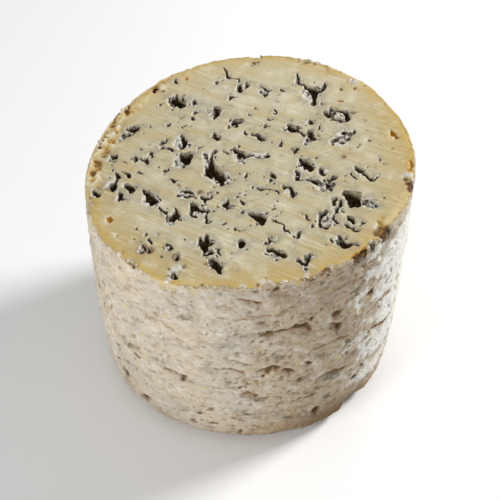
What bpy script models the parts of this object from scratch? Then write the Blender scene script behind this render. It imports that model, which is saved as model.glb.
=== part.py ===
"""Half a fourme: a tall round blue cheese cut across, standing on its rounded foot.

The solid is one piece: a slightly lobed drum with a drawn-in foot, a slanting cut
face on top, blue hollows opening in that face, chips along its rim and pits in the
rind. Lengths here are millimetres and are scaled to metres when a mesh is made.
The origin is the middle of the underside, +Z is up and the chosen front faces -Y.
"""

import math
import random

import bmesh
import bpy
from mathutils import Matrix, Vector, noise
from mathutils.geometry import delaunay_2d_cdt

MM = 0.001

# The drum
RADIUS = 64.0
LOBE_DEPTH = 0.75
LOBE_COUNT = 3
LOBE_TURN = math.radians(28.0)
AXIS_SHIFT = Vector((0.08, -0.75))
SEGMENTS = 96
WALL_ROWS = 13
FOOT_ROWS = 4

# The foot and its dent
FOOT_ROUND = 8.0
FOOT_DRAW = 4.2
DRAW_HEIGHT = 60.0
DENT_ANGLE = math.radians(-42.0)
DENT_HALF_ANGLE = math.radians(9.0)
DENT_HEIGHT = 7.0
DENT_HALF_HEIGHT = 8.0
DENT_DEPTH = 3.2

# The cut face: height on the axis and its slopes to the right and to the back
CUT_HEIGHT = 102.0
CUT_SLOPE_X = 0.105
CUT_SLOPE_Y = 0.045
FACE_GRID = 8.0
TORN_WIDTH = 7.0
TORN_DEPTH = 1.1
TORN_FROM = math.radians(118.0)
TORN_TO = math.radians(186.0)
TORN_GRAIN = 3.0
INNER_RING_GAP = 3.0

# Low relief of the rind
UNEVEN_DEPTH = 0.5
UNEVEN_LENGTH = 17.0
UNEVEN_RISE = 9.0

# Hollows: how far a hollow widens below the face, and its depth for its width
HOLLOW_SINK = 0.38
HOLLOW_DEPTH_RATIO = 0.95
HOLLOW_DEPTH_LEAST = 2.4
HOLLOW_DEPTH_MOST = 6.0
BLOB_ROUGHNESS = 0.44
BLOB_GRAIN = 1.7
BLOB_STEP = Vector((3.1, 1.7, 0.9))
BROAD_AREA = 48.0
NARROW_AREA = 14.0

# The hollows that stand out: x, y, length, width, turn in degrees
HOLLOWS = [
    (-29.0, 38.0, 9.5, 5.5, -60),
    (-13.4, 29.8, 8.2, 4.2, 86),
    (-26.4, 14.0, 7.6, 4.0, 95),
    (-25.0, 4.7, 7.6, 7.0, 0),
    (-13.0, -3.6, 11.0, 6.0, -50),
    (-3.2, 5.4, 8.5, 4.0, -50),
    (26.6, 40.2, 9.0, 5.2, 12),
    (32.6, 26.0, 6.6, 4.8, 20),
    (38.4, 23.4, 5.0, 7.0, 0),
    (-36.8, -15.8, 9.6, 4.8, -55),
    (-52.4, -6.6, 7.6, 4.4, 75),
    (-19.0, -23.4, 8.0, 6.4, 10),
    (-28.1, -26.0, 9.6, 5.0, 75),
    (-15.4, -40.6, 6.4, 5.6, 60),
    (-10.8, -51.6, 6.8, 4.4, -50),
    (22.5, -2.6, 7.8, 4.4, -45),
    (40.0, -22.6, 7.6, 6.4, -60),
    (28.0, -34.0, 7.4, 5.2, 90),
    (-47.6, 21.6, 10.0, 3.8, 50),
    (-5.1, 24.2, 6.0, 5.0, 0),
    (21.0, 45.2, 7.0, 2.4, -50),
    (17.3, 18.0, 5.0, 4.2, -20),
    (24.6, 12.0, 7.0, 3.6, -80),
    (37.0, 10.0, 9.0, 4.0, 25),
    (15.4, -16.0, 8.0, 3.6, -60),
    (3.2, -28.3, 7.4, 3.6, -35),
    (10.8, -47.3, 8.0, 3.6, -25),
    (34.7, -43.4, 9.0, 4.2, -40),
    (34.0, -24.6, 7.0, 2.6, 80),
    (30.0, -13.8, 6.4, 4.4, 20),
]

# Points closer than this after the cut become one
WELD_DISTANCE = 0.03

# Small hollows that fill the middle of the face by a seeded rule
SMALL_COUNT = 20
SMALL_SEED = 11
SMALL_REACH = 54.0
SMALL_GAP = 4.2
SMALL_LENGTH = (2.6, 4.2)
SMALL_WIDTH = (2.0, 2.8)

# Chips along the rim: angle in degrees, length along the rim, width and depth
RIM_CHIPS = [
    (-16.0, 9.0, 5.0, 3.2),
    (-38.0, 6.5, 5.0, 2.8),
    (-52.0, 7.5, 4.5, 2.8),
    (130.0, 6.0, 5.0, 2.4),
    (88.0, 5.0, 3.6, 2.0),
]

# Pits in the rind: angle in degrees, height, width round the drum, height of the pit, depth
RIND_PITS = [
    (-43.0, 76.5, 5.4, 4.2, 2.0),
    (-57.5, 68.0, 3.8, 5.4, 1.6),
    (-71.0, 75.0, 8.5, 3.2, 1.5),
    (-62.0, 16.0, 4.8, 6.4, 2.4),
    (-113.5, 40.0, 3.0, 6.0, 1.8),
    (-82.0, 51.5, 8.0, 3.2, 1.5),
    (-74.0, 49.5, 3.6, 3.4, 1.6),
    (-87.0, 91.2, 5.0, 2.6, 1.3),
    (-46.0, 26.5, 4.4, 3.6, 1.5),
    (-143.5, 17.5, 4.6, 5.4, 1.6),
    (-133.0, 11.5, 4.4, 4.0, 1.5),
    (-147.0, 56.0, 4.0, 3.2, 1.3),
]
WIDE_PIT_AREA = 20.0
BACK_PIT_COUNT = 14
BACK_PIT_SEED = 5
BACK_FROM = 0.0
BACK_TO = 195.0
BACK_PIT_HEIGHTS = (14.0, 86.0)
BACK_PIT_WIDTHS = (3.2, 6.5)
BACK_PIT_RISES = (3.0, 5.0)
BACK_PIT_DEPTHS = (1.2, 2.0)

# Finishes
PASTE_COLOUR = (0.72, 0.62, 0.38, 1.0)
PASTE_ROUGHNESS = 0.5
SHARP_ANGLE = math.radians(32.0)


def clear_scene():
    for item in list(bpy.data.objects):
        bpy.data.objects.remove(item, do_unlink=True)


def smooth_bump(value):
    """1 in the middle of a dent or band, easing to 0 at its edge, where value reaches 1."""
    if abs(value) >= 1.0:
        return 0.0
    return (1.0 - value * value) ** 2


def foot_inset(height):
    """How much the foot is narrower than the wall at this height."""
    draw = FOOT_DRAW * max(0.0, 1.0 - height / DRAW_HEIGHT) ** 2
    below = max(0.0, FOOT_ROUND - height)
    return draw + FOOT_ROUND - math.sqrt(FOOT_ROUND ** 2 - below ** 2)


def dent(angle, height):
    across = (angle - DENT_ANGLE + math.pi) % math.tau - math.pi
    up = (height - DENT_HEIGHT) / DENT_HALF_HEIGHT
    return DENT_DEPTH * smooth_bump(across / DENT_HALF_ANGLE) * smooth_bump(up)


def drum_radius(angle, height):
    """Distance of the rind from the axis, without its low relief."""
    lobed = RADIUS - LOBE_DEPTH * math.cos(LOBE_COUNT * (angle - LOBE_TURN))
    return lobed * (1.0 - foot_inset(height) / RADIUS) - dent(angle, height)


def unevenness(angle, height):
    """Low swells of the rind, longer round the drum than up it."""
    spot = Vector((
        math.cos(angle) * RADIUS / UNEVEN_LENGTH,
        math.sin(angle) * RADIUS / UNEVEN_LENGTH,
        height / UNEVEN_RISE,
    ))
    return UNEVEN_DEPTH * noise.noise(spot)


def face_height(x, y):
    """Height of the flat cut at a place."""
    return CUT_HEIGHT + CUT_SLOPE_X * x + CUT_SLOPE_Y * y


def wall_point(angle, height):
    radius = drum_radius(angle, height) + unevenness(angle, height)
    return Vector((
        radius * math.cos(angle) + AXIS_SHIFT.x,
        radius * math.sin(angle) + AXIS_SHIFT.y,
        height,
    ))


def rim_height(angle):
    """Height where the wall meets the slanting cut, found by repeated substitution."""
    height = CUT_HEIGHT
    for _ in range(4):
        spot = wall_point(angle, height)
        height = face_height(spot.x, spot.y)
    return height


def row_heights(angle):
    """Heights of the rows at one angle, from the flat underside to the rim."""
    heights = []
    for row in range(FOOT_ROWS):
        turn = math.pi / 2 * row / FOOT_ROWS
        heights.append(FOOT_ROUND * (1.0 - math.cos(turn)))
    top = rim_height(angle)
    for row in range(WALL_ROWS + 1):
        heights.append(FOOT_ROUND + (top - FOOT_ROUND) * row / WALL_ROWS)
    return heights


def torn_drop(spot, rim_distance):
    """How far the torn band at the rim lies below the flat cut."""
    angle = math.atan2(spot.y, spot.x) % math.tau
    middle = (TORN_FROM + TORN_TO) / 2
    along = smooth_bump((angle - middle) / (TORN_TO - TORN_FROM) * 2)
    across = max(0.0, 1.0 - rim_distance / TORN_WIDTH)
    rough = 0.5 + noise.noise(Vector((spot.x, spot.y, 0.0)) / TORN_GRAIN)
    return TORN_DEPTH * along * math.sqrt(across) * rough


def face_points(rim):
    """Points inside the rim, in offset rows, where the cut face is divided."""
    points = []
    row_gap = FACE_GRID * math.sqrt(3) / 2
    rows = int(RADIUS / row_gap)
    for row in range(-rows, rows + 1):
        offset = FACE_GRID / 2 if row % 2 else 0.0
        columns = int(RADIUS / FACE_GRID) + 1
        for column in range(-columns, columns + 1):
            spot = Vector((column * FACE_GRID + offset, row * row_gap))
            if spot.length < RADIUS - INNER_RING_GAP - FACE_GRID / 4:
                points.append(spot)
    shrink = 1.0 - INNER_RING_GAP / RADIUS
    return points + [Vector((point.x, point.y)) * shrink for point in rim[::2]]


def add_cut_face(body, rim_vertices):
    """Close the top with triangles between the rim and points spread over the cut."""
    rim = [vertex.co.copy() for vertex in rim_vertices]
    inner = face_points(rim)
    flat = [Vector((point.x, point.y)) for point in rim] + inner
    edges = [(i, (i + 1) % len(rim)) for i in range(len(rim))]
    points, _, faces, origins, _, _ = delaunay_2d_cdt(flat, edges, [], 1, 1e-6)
    vertices = []
    for point, origin in zip(points, origins):
        if origin and origin[0] < len(rim):
            vertices.append(rim_vertices[origin[0]])
            continue
        height = face_height(point.x, point.y)
        height -= torn_drop(point, RADIUS - point.length)
        vertices.append(body.verts.new((point.x, point.y, height)))
    for face in faces:
        body.faces.new([vertices[i] for i in face])


def make_body():
    """The whole drum as one closed mesh, in millimetres."""
    body = bmesh.new()
    rings = []
    columns = [math.tau * i / SEGMENTS for i in range(SEGMENTS)]
    heights = [row_heights(angle) for angle in columns]
    for row in range(len(heights[0])):
        ring = [body.verts.new(wall_point(a, h[row])) for a, h in zip(columns, heights)]
        rings.append(ring)
    for lower, upper in zip(rings, rings[1:]):
        for i in range(SEGMENTS):
            j = (i + 1) % SEGMENTS
            body.faces.new((lower[i], lower[j], upper[j], upper[i]))
    body.faces.new(list(reversed(rings[0])))
    add_cut_face(body, rings[-1])
    for vertex in rings[0]:
        vertex.co.z = 0.0
    bmesh.ops.recalc_face_normals(body, faces=body.faces)
    return body


def add_mesh_object(name, shape, collection):
    """Scale a bmesh from millimetres to metres and link it as an object."""
    bmesh.ops.scale(shape, vec=Vector((MM, MM, MM)), verts=shape.verts)
    mesh = bpy.data.meshes.new(name)
    shape.to_mesh(mesh)
    shape.free()
    item = bpy.data.objects.new(name, mesh)
    collection.objects.link(item)
    return item


def add_blob(shape, half_sizes, placing, fineness, seed):
    """Add an uneven ellipsoid: half sizes along its own axes, then placed by a matrix."""
    made = bmesh.ops.create_icosphere(shape, subdivisions=fineness, radius=1.0)
    for vertex in made["verts"]:
        swell = noise.noise(vertex.co * BLOB_GRAIN + BLOB_STEP * seed)
        scaled = vertex.co * (1.0 + BLOB_ROUGHNESS * swell)
        sized = Vector(s * h for s, h in zip(scaled, half_sizes))
        vertex.co = placing @ sized


def hollow_fineness(length, width):
    """Icosphere steps: the broadest hollows are rounder than the small ones."""
    if length * width > BROAD_AREA:
        return 3
    return 2 if length * width > NARROW_AREA else 1


def add_hollow(collection, number, x, y, length, width, turn):
    """A cutter whose opening in the cut face has the stated length and width."""
    depth = min(HOLLOW_DEPTH_MOST, max(HOLLOW_DEPTH_LEAST, width * HOLLOW_DEPTH_RATIO))
    sink = depth * HOLLOW_SINK
    widen = 1.0 / math.sqrt(1.0 - (sink / (depth - sink)) ** 2)
    half_sizes = (length / 2 * widen, width / 2 * widen, depth - sink)
    middle = Vector((x, y, face_height(x, y) - sink))
    placing = Matrix.Translation(middle) @ Matrix.Rotation(math.radians(turn), 4, "Z")
    shape = bmesh.new()
    add_blob(shape, half_sizes, placing, hollow_fineness(length, width), number)
    add_cutter(f"hollow_{number}", shape, collection)


def add_rim_chip(collection, number, angle, length, width, depth):
    turn = math.radians(angle)
    edge = wall_point(turn, rim_height(turn))
    shape = bmesh.new()
    placing = Matrix.Translation(edge) @ Matrix.Rotation(turn, 4, "Z")
    add_blob(shape, (width / 2, length / 2, depth), placing, 2, number)
    add_cutter(f"rim_chip_{number}", shape, collection)


def add_rind_pit(collection, number, angle, height, width, rise, depth):
    turn = math.radians(angle)
    shape = bmesh.new()
    placing = Matrix.Translation(wall_point(turn, height)) @ Matrix.Rotation(turn, 4, "Z")
    fineness = 2 if width * rise > WIDE_PIT_AREA else 1
    add_blob(shape, (depth, width / 2, rise / 2), placing, fineness, number)
    add_cutter(f"rind_pit_{number}", shape, collection)


def add_cutter(name, shape, collection):
    cutter = add_mesh_object(name, shape, collection)
    cutter.hide_render = True
    cutter.display_type = "WIRE"


def small_hollows(draws):
    """Places for the small hollows, clear of the listed ones and of one another."""
    taken = [(Vector(item[:2]), item[2] / 2) for item in HOLLOWS]
    found = []
    while len(found) < SMALL_COUNT:
        distance = SMALL_REACH * math.sqrt(draws.random())
        angle = draws.uniform(0.0, math.tau)
        spot = Vector((distance * math.cos(angle), distance * math.sin(angle)))
        length = draws.uniform(*SMALL_LENGTH)
        width = draws.uniform(*SMALL_WIDTH)
        turn = draws.uniform(-90.0, 90.0)
        if all((spot - other).length > reach + SMALL_GAP for other, reach in taken):
            taken.append((spot, length / 2))
            found.append((spot.x, spot.y, length, width, turn))
    return found


def back_pits(draws):
    """Pits round the side that faces away, spread by equal steps with a random shift."""
    step = (BACK_TO - BACK_FROM) / BACK_PIT_COUNT
    pits = []
    for i in range(BACK_PIT_COUNT):
        angle = BACK_FROM + step * (i + draws.uniform(0.2, 0.8))
        height = draws.uniform(*BACK_PIT_HEIGHTS)
        width = draws.uniform(*BACK_PIT_WIDTHS)
        rise = draws.uniform(*BACK_PIT_RISES)
        pits.append((angle, height, width, rise, draws.uniform(*BACK_PIT_DEPTHS)))
    return pits


def make_cutters():
    """Every hollow, chip and pit, in one collection."""
    cutters = bpy.data.collections.new("cutters")
    bpy.context.scene.collection.children.link(cutters)
    number = 0
    for item in HOLLOWS + small_hollows(random.Random(SMALL_SEED)):
        number += 1
        add_hollow(cutters, number, *item)
    for item in RIM_CHIPS:
        number += 1
        add_rim_chip(cutters, number, *item)
    for item in RIND_PITS + back_pits(random.Random(BACK_PIT_SEED)):
        number += 1
        add_rind_pit(cutters, number, *item)
    return cutters


def weld_close_points(mesh):
    """Join the points that a cut leaves closer together than the weld distance."""
    shape = bmesh.new()
    shape.from_mesh(mesh)
    bmesh.ops.dissolve_degenerate(shape, dist=WELD_DISTANCE * MM, edges=shape.edges)
    bmesh.ops.triangulate(shape, faces=shape.faces)
    shape.to_mesh(mesh)
    shape.free()


def cut_with(item, cutters):
    """Cut the collection out of the object, apply the cut and remove the cutters."""
    cut = item.modifiers.new("hollows", "BOOLEAN")
    cut.operation = "DIFFERENCE"
    cut.solver = "EXACT"
    cut.operand_type = "COLLECTION"
    cut.collection = cutters
    bpy.context.view_layer.update()
    evaluated = item.evaluated_get(bpy.context.evaluated_depsgraph_get())
    result = bpy.data.meshes.new_from_object(evaluated)
    item.modifiers.remove(cut)
    item.data = result
    weld_close_points(result)
    for cutter in list(cutters.objects):
        bpy.data.objects.remove(cutter, do_unlink=True)
    bpy.data.collections.remove(cutters)


def paste_material():
    material = bpy.data.materials.new("blue cheese")
    material.use_nodes = True
    shader = material.node_tree.nodes["Principled BSDF"]
    shader.inputs["Base Color"].default_value = PASTE_COLOUR
    shader.inputs["Roughness"].default_value = PASTE_ROUGHNESS
    shader.inputs["Metallic"].default_value = 0.0
    return material


def make_cheese():
    cheese = add_mesh_object("cheese", make_body(), bpy.context.scene.collection)
    cut_with(cheese, make_cutters())
    cheese.data.materials.clear()
    cheese.data.materials.append(paste_material())
    cheese.data.shade_smooth()
    cheese.data.set_sharp_from_angle(angle=SHARP_ANGLE)


clear_scene()
make_cheese()
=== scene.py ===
import math
import random

import bmesh
import bpy
import numpy as np
from mathutils import Matrix, Vector, noise


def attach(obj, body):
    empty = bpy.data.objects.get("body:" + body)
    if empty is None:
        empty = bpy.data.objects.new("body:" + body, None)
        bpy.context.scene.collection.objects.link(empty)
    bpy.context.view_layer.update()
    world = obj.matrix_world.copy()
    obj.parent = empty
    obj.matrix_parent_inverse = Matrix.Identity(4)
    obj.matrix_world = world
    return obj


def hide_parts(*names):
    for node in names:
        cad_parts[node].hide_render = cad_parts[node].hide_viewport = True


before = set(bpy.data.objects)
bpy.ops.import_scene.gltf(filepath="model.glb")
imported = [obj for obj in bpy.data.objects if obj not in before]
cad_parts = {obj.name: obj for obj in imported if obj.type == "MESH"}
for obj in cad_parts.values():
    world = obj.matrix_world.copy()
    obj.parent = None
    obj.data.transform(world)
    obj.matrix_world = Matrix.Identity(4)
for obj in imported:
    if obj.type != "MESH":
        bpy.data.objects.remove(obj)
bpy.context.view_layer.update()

# Half a fourme: golden paste with blue hollows, a dusty rind round it, and crust crumbs on the rim.
# Lengths are millimetres and angles degrees (0 is to the right, -90 to the front) until a mesh is made.
mm = 0.001
farOff = 30.0    # further than any hollow or crease reaches
print("frame loaded")

# The drum that the pieces share. It is the outline of the CAD solid
drum = {
    "radius": 64.0,
    "axis": (0.08, -0.75),
    "lobeDepth": 0.75, "lobeCount": 3, "lobeTurn": 28.0,
    "footRound": 8.0, "footDraw": 4.2, "drawHeight": 60.0,
    "dentAngle": -42.0, "dentHalfAngle": 9.0, "dentHeight": 7.0, "dentHalfHeight": 8.0, "dentDepth": 3.2,
    "cutHeight": 102.0, "cutSlope": (0.105, 0.045),
    "unevenDepth": 0.5, "unevenLength": 17.0, "unevenRise": 9.0,
    "rimSteps": 1440, "rindThickness": 0.85, "rindRagged": 0.75, "rindThinnest": 0.3,
    "swellAt": 124.0, "swellHalf": 34.0, "swellRise": 0.9,    # the far left edge stands a little higher
    # Where crust lies over the cut: angle, half spread in degrees, thickness added
    "rindLumps": ((-81, 7, 2.0), (-132, 3.5, 2.0), (-166, 5, 3.0), (-62, 4, 1.6), (-45, 3, 1.4),
                  (-28, 3, 0.3), (-8, 3, 0.6), (58, 2.5, 2.4), (-97, 4, 0.8), (-118, 7, -0.8),
                  (-104, 3, 0.9), (-144, 3, 0.8)),
}


def smoothBump(value):
    return np.where(np.abs(value) < 1, (1 - np.minimum(value * value, 1)) ** 2, 0)


def smoothStep(value, low, high):
    t = np.clip((value - low) / (high - low), 0, 1)
    return t * t * (3 - 2 * t)


def turnFrom(angle, other):
    # The shorter way round from other to angle, in degrees
    return (angle - other + 180) % 360 - 180


def angleGap(angle, other):
    return np.abs(turnFrom(angle, other))


def drumRadius(angle, height):
    # Distance from the drum's own axis, before the rind's relief
    lobes = drum["lobeDepth"] * np.cos(np.radians(drum["lobeCount"] * (angle - drum["lobeTurn"])))
    below = np.maximum(0, drum["footRound"] - height)
    inset = drum["footDraw"] * np.maximum(0, 1 - height / drum["drawHeight"]) ** 2
    inset = inset + drum["footRound"] - np.sqrt(np.maximum(0, drum["footRound"] ** 2 - below ** 2))
    dent = smoothBump(angleGap(angle, drum["dentAngle"]) / drum["dentHalfAngle"])
    dent = dent * smoothBump((height - drum["dentHeight"]) / drum["dentHalfHeight"])
    return (drum["radius"] - lobes) * (1 - inset / drum["radius"]) - drum["dentDepth"] * dent


def roundNoise(angle, height, along, rise, seed=0.0):
    # Noise on the wall: along is its length round the drum, rise its height
    turn = np.radians(angle)
    across = np.cos(turn) * drum["radius"] / along + seed
    deep = np.sin(turn) * drum["radius"] / along
    up = np.broadcast_to(height / rise, turn.shape)
    found = [noise.noise(Vector(place)) for place in zip(across.ravel(), deep.ravel(), up.ravel())]
    return np.array(found).reshape(turn.shape)


def wallRadius(angle, height):
    uneven = roundNoise(angle, height, drum["unevenLength"], drum["unevenRise"])
    return drumRadius(angle, height) + drum["unevenDepth"] * uneven


def cutPlane(x, y):
    return drum["cutHeight"] + drum["cutSlope"][0] * x + drum["cutSlope"][1] * y


def edgeSwell(angle):
    return drum["swellRise"] * smoothBump(angleGap(angle, drum["swellAt"]) / drum["swellHalf"])


def rimTable():
    # Wall radius and rind thickness at the rim, for every quarter of a degree
    angle = np.arange(drum["rimSteps"]) * 360 / drum["rimSteps"]
    height = np.full(drum["rimSteps"], drum["cutHeight"])
    for _ in range(3):    # the radius and the height at the rim depend on each other
        radius = wallRadius(angle, height)
        x = radius * np.cos(np.radians(angle)) + drum["axis"][0]
        y = radius * np.sin(np.radians(angle)) + drum["axis"][1]
        height = cutPlane(x, y)
    ragged = 0.6 * roundNoise(angle, height * 0, 5.0, 1.0, 31.0)
    ragged += 0.5 * roundNoise(angle, height * 0, 1.7, 1.0, 57.0)
    thickness = drum["rindThickness"] + 2 * drum["rindRagged"] * ragged
    for middle, half, extra in drum["rindLumps"]:
        thickness += extra * (1 + 0.6 * ragged) * smoothBump(angleGap(angle, middle) / half)
    return angle, radius, np.maximum(thickness, drum["rindThinnest"])


rimAngle, rimRadius, rimThickness = rimTable()


def atRim(values, angle):
    return np.interp(angle % 360, np.append(rimAngle, 360), np.append(values, values[0]))


def latticeNoise(axes, cells, seed):
    # Smooth noise of about -1 to 1 on the grid of these axes: random knots blended by cubic B-splines
    rng = np.random.default_rng(seed)
    tables = []
    for axis, cell in zip(axes, cells):
        place = (axis - axis[0]) / cell
        first = np.floor(place).astype(int)
        t = place - first
        table = np.zeros((len(axis), first.max() + 4))
        shares = ((1 - t) ** 3, 3 * t ** 3 - 6 * t ** 2 + 4, -3 * t ** 3 + 3 * t ** 2 + 3 * t + 1, t ** 3)
        for knot, share in enumerate(shares):
            table[np.arange(len(axis)), first + knot] = share / 6
        tables.append(table)
    values = rng.uniform(-1, 1, [table.shape[1] for table in tables])
    for table in tables:
        values = np.tensordot(values, table, axes=(0, 1))
    return values * (2.3 if len(axes) == 2 else 3.2)


# The hollows and veins of the cut face, each a chain of (x, y, half width)
deepHollows = [
    [(-30.6, 42, .8), (-29.8, 40, 1.9), (-28.6, 38, 2.3), (-28.2, 35.8, 1.5), (-28.6, 34.3, .8)],
    [(-14, 33, .9), (-13.2, 31, 1.6), (-13.4, 28.5, 1.7), (-14, 27.2, 1.1)],
    [(-26.9, 17.3, 1), (-25.9, 15.3, 1.4), (-26.5, 13, 1.1), (-26.9, 11, .9)],
    [(-26.5, 6.4, 1.2), (-24.6, 5, 2.2), (-24.3, 3, 1.7)],
    [(-16, -2, 1.5), (-14.3, -2.4, 2.6), (-12.3, -4.4, 2.5), (-10.6, -6.6, 2), (-9, -8, 1.3),
     (-9.8, -10.5, .9)],
    [(-5.9, 8.3, .9), (-4.4, 6.6, .9), (-2.7, 4.9, 1.3), (-.9, 3.6, 1.5)],
    [(-5.4, 24.2, 1.5), (-3.9, 23.6, 1.2), (-4.8, 22.8, 1)],
    [(-33.9, 11.6, 1.2), (-33.7, 11.4, 1.1)],
    [(19.2, 50, .4), (19.1, 47.8, .7), (19.6, 45.6, .9), (21.3, 44.2, .6), (23.3, 42.4, .8),
     (25.4, 40.4, 1.6)],
    [(25.4, 40.4, 1.6), (27.2, 39.6, 2), (29.2, 40.4, 1.5), (30.4, 41.6, 1), (30.2, 43.6, .4)],
    [(32, 27.4, 1.1), (34.4, 27, .9), (36.4, 26, .8), (38.7, 25.2, 1.4), (39.2, 23.2, 1.2),
     (37.8, 20.8, 1.1)],
    [(37.8, 20.8, 1.1), (36.4, 20.4, .9), (34.2, 21.6, .8), (32.4, 21.2, .6)],
    [(31, 25.6, 1.1), (31.8, 23.4, 1), (33.2, 24.6, 1.3)],
    [(16, 19.6, .7), (17, 18.4, 1.5), (17.6, 16.8, 1.4), (19, 17.6, 1), (20.4, 17.8, .5)],
    [(24.2, 15.4, 1.3), (24.4, 13.8, 1.1), (24.6, 12, .8), (25.2, 10.8, 1), (26.7, 10.4, .5)],
    [(1.6, 16.4, .7), (3.2, 15.6, 1), (4.8, 14.4, 1.1), (6, 12.6, .9), (6.8, 12, .4)],
    [(-40.6, -11.2, .4), (-38.9, -12.8, .9), (-37.5, -14.6, 1.5), (-36.4, -16.8, 1.9), (-36, -18.2, 1.5)],
    [(-51.8, -1.6, .6), (-51.2, -3, .9), (-51.8, -5, 1), (-52.4, -7.2, 1.9), (-52.2, -9, 1.4)],
    [(-26, -12.7, .5), (-24.2, -13, .7), (-22.4, -13.3, .6), (-21, -13.6, .5)],
    [(-20.6, -21.4, 1.5), (-19.8, -23, 1.8), (-18, -23.2, 1.4), (-16.8, -24, 1.4), (-15.3, -24.2, 1)],
    [(-27.4, -22, .6), (-27.4, -24.4, 1.3), (-27.8, -26.6, 1.6), (-28.2, -28.6, 1.1)],
    [(-15.4, -37.2, .6), (-15.3, -39, 1.2), (-15.4, -41, 2), (-14, -40.8, 1.4)],
    [(-12.4, -49.8, 1.1), (-11.4, -50.8, 1.7), (-10, -52.4, 1.7), (-9, -53, .9)],
    [(-36.4, -36.6, .6), (-35.8, -37.6, .8)],
    [(19.4, .8, .5), (20.4, -.6, 1.1), (22, -2.2, 1.7), (23.6, -3.6, 1.9), (24.4, -4.4, 1.2)],
    [(13.4, -14.2, .7), (14.8, -14.2, .8), (16.2, -15.2, .8), (16.6, -17, 1), (16.8, -18.6, .9)],
    [(35, -20, .9), (37, -20.2, 1.5), (38.8, -21, 2.1), (40.4, -22, 2.5), (40.8, -24, 2), (41.4, -26, 1.3)],
    [(34.8, -23, .5), (34.2, -25, .9), (33.4, -27, 1), (32.8, -29, .6)],
    [(27.8, -35.4, 1.2), (29, -36, 1)],
    [(35.4, -35.4, .8), (36.6, -36.6, .9), (38, -37.8, .4), (40.8, -38.6, .4)],
    [(.8, -27.6, 1), (2.4, -28.4, 1.6), (4.2, -29, 1.5), (5.6, -30.2, 1.2), (5.4, -31.8, .8)],
    [(7.6, -39.4, .7), (8.4, -40.6, 1.1)],
    [(7.8, -45.6, .6), (9.2, -46.4, .8), (11, -47.2, 1.4), (12.8, -47.4, 1.3), (13.8, -49.2, .6)],
    [(33, -40.6, .6), (33.4, -42.4, 1), (34.4, -44, 1), (35.6, -45.6, 1.2), (37.4, -45.4, .8),
     (39.6, -45.2, .7)],
]

# Shelves of a hollow: shallow, lined with pale mould
mouldShelves = [
    [(-32.3, 40, 1.2), (-31.8, 37.5, 1.5), (-30.8, 36, 1)], [(-15.3, 30, .9), (-15, 27, .7)],
    [(-11.6, 29, .6)], [(-28.4, 15.5, 1), (-28.2, 12.5, 1)], [(-24.9, 13, .8), (-24.8, 11.5, .5)],
    [(-28.3, 4.5, 1), (-27.6, 2.2, 1.3), (-26, .8, .9)],
    [(-16.8, 6.5, .9), (-17.2, 4, .9), (-16.4, 1.5, .9)],
    [(-16.5, -4.8, .8), (-14.2, -7, .8), (-11.8, -9.2, .8)],
    [(-8, -5.5, .6), (-6.6, -8.2, .7), (-7.5, -9.8, .5)],
    [(-5.2, 4.6, .9), (-3.6, 2.2, 1.2), (-1.8, 1, .9)],
    [(1, 3.3, 1.1), (3.2, 3.6, .9), (5.3, 3.3, 1), (7.6, 3.1, .8)], [(-7.2, 23.3, .9)], [(-20.8, 36, .8)],
    [(-42.6, 5.6, 1)], [(-54, 7.8, 1.2)], [(22.6, 39.6, .8), (23.6, 37, 1.1), (24.8, 34.8, 1)],
    [(28.6, 36.4, .6)], [(15.1, 17.4, .6)], [(22.8, 11.4, .8), (23.2, 9.2, .9)],
    [(4.4, 41, .6), (4.6, 39, .6)],
    [(33, 8.6, 1.2), (34.6, 10.6, .9), (37.2, 12.6, 1.3), (39.6, 12.4, 1), (38.8, 10, 1.2),
     (35.6, 7.6, 1.4)],
    [(-38.8, -16, 1), (-38.2, -18.2, .9)], [(-34.4, -15, .5), (-33.6, -17.6, .5)],
    [(-54.8, -6.6, .7), (-54.9, -8.6, .6)], [(-47.2, -15, 1), (-46, -15.4, .5)],
    [(-26.6, -14.4, .6), (-24.6, -15.4, .9), (-22.4, -15.2, .9), (-20.6, -15, .7)], [(-21.4, -24.4, .6)],
    [(-18.4, -25.4, 1)], [(-17.3, -21.2, .6)], [(-15.2, -22.6, .6)], [(-13.6, -24.4, .6)],
    [(-30.4, -25.4, .7), (-30.2, -28, .9), (-29, -30.4, 1), (-27.4, -30.6, .6)],
    [(-26, -25.6, .5), (-25.6, -27.8, .5)], [(-7.2, -21.6, .6)], [(-13.2, -51.4, .5)], [(-39, -42.2, .7)],
    [(19.4, -1.6, .7), (20.2, -3.4, .8), (21.4, -5, .6)], [(25.6, -3.6, .5)], [(19.8, -7.4, .5)],
    [(29.8, -7.4, .6)], [(29, -14.5, 2.6)], [(14.4, -16.4, .8)], [(18, -17.4, .5)],
    [(38, -24, 1), (39, -26, .7)], [(43.2, -23.6, .5), (43.4, -25.6, .5)], [(45.6, -25.4, 2)],
    [(35.4, -28, .7)], [(31.6, -27.4, .6)], [(28.4, -32.6, 1.6)],
    [(6.2, -41.6, .7), (8, -42.6, .7), (9.8, -41.4, .6)],
    [(7, -47.4, .6), (8.8, -49, .7), (10.8, -49.8, .5)], [(31.6, -42.8, .8), (33, -44.8, .6)],
    [(35.6, -42, .6)],
]

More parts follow.
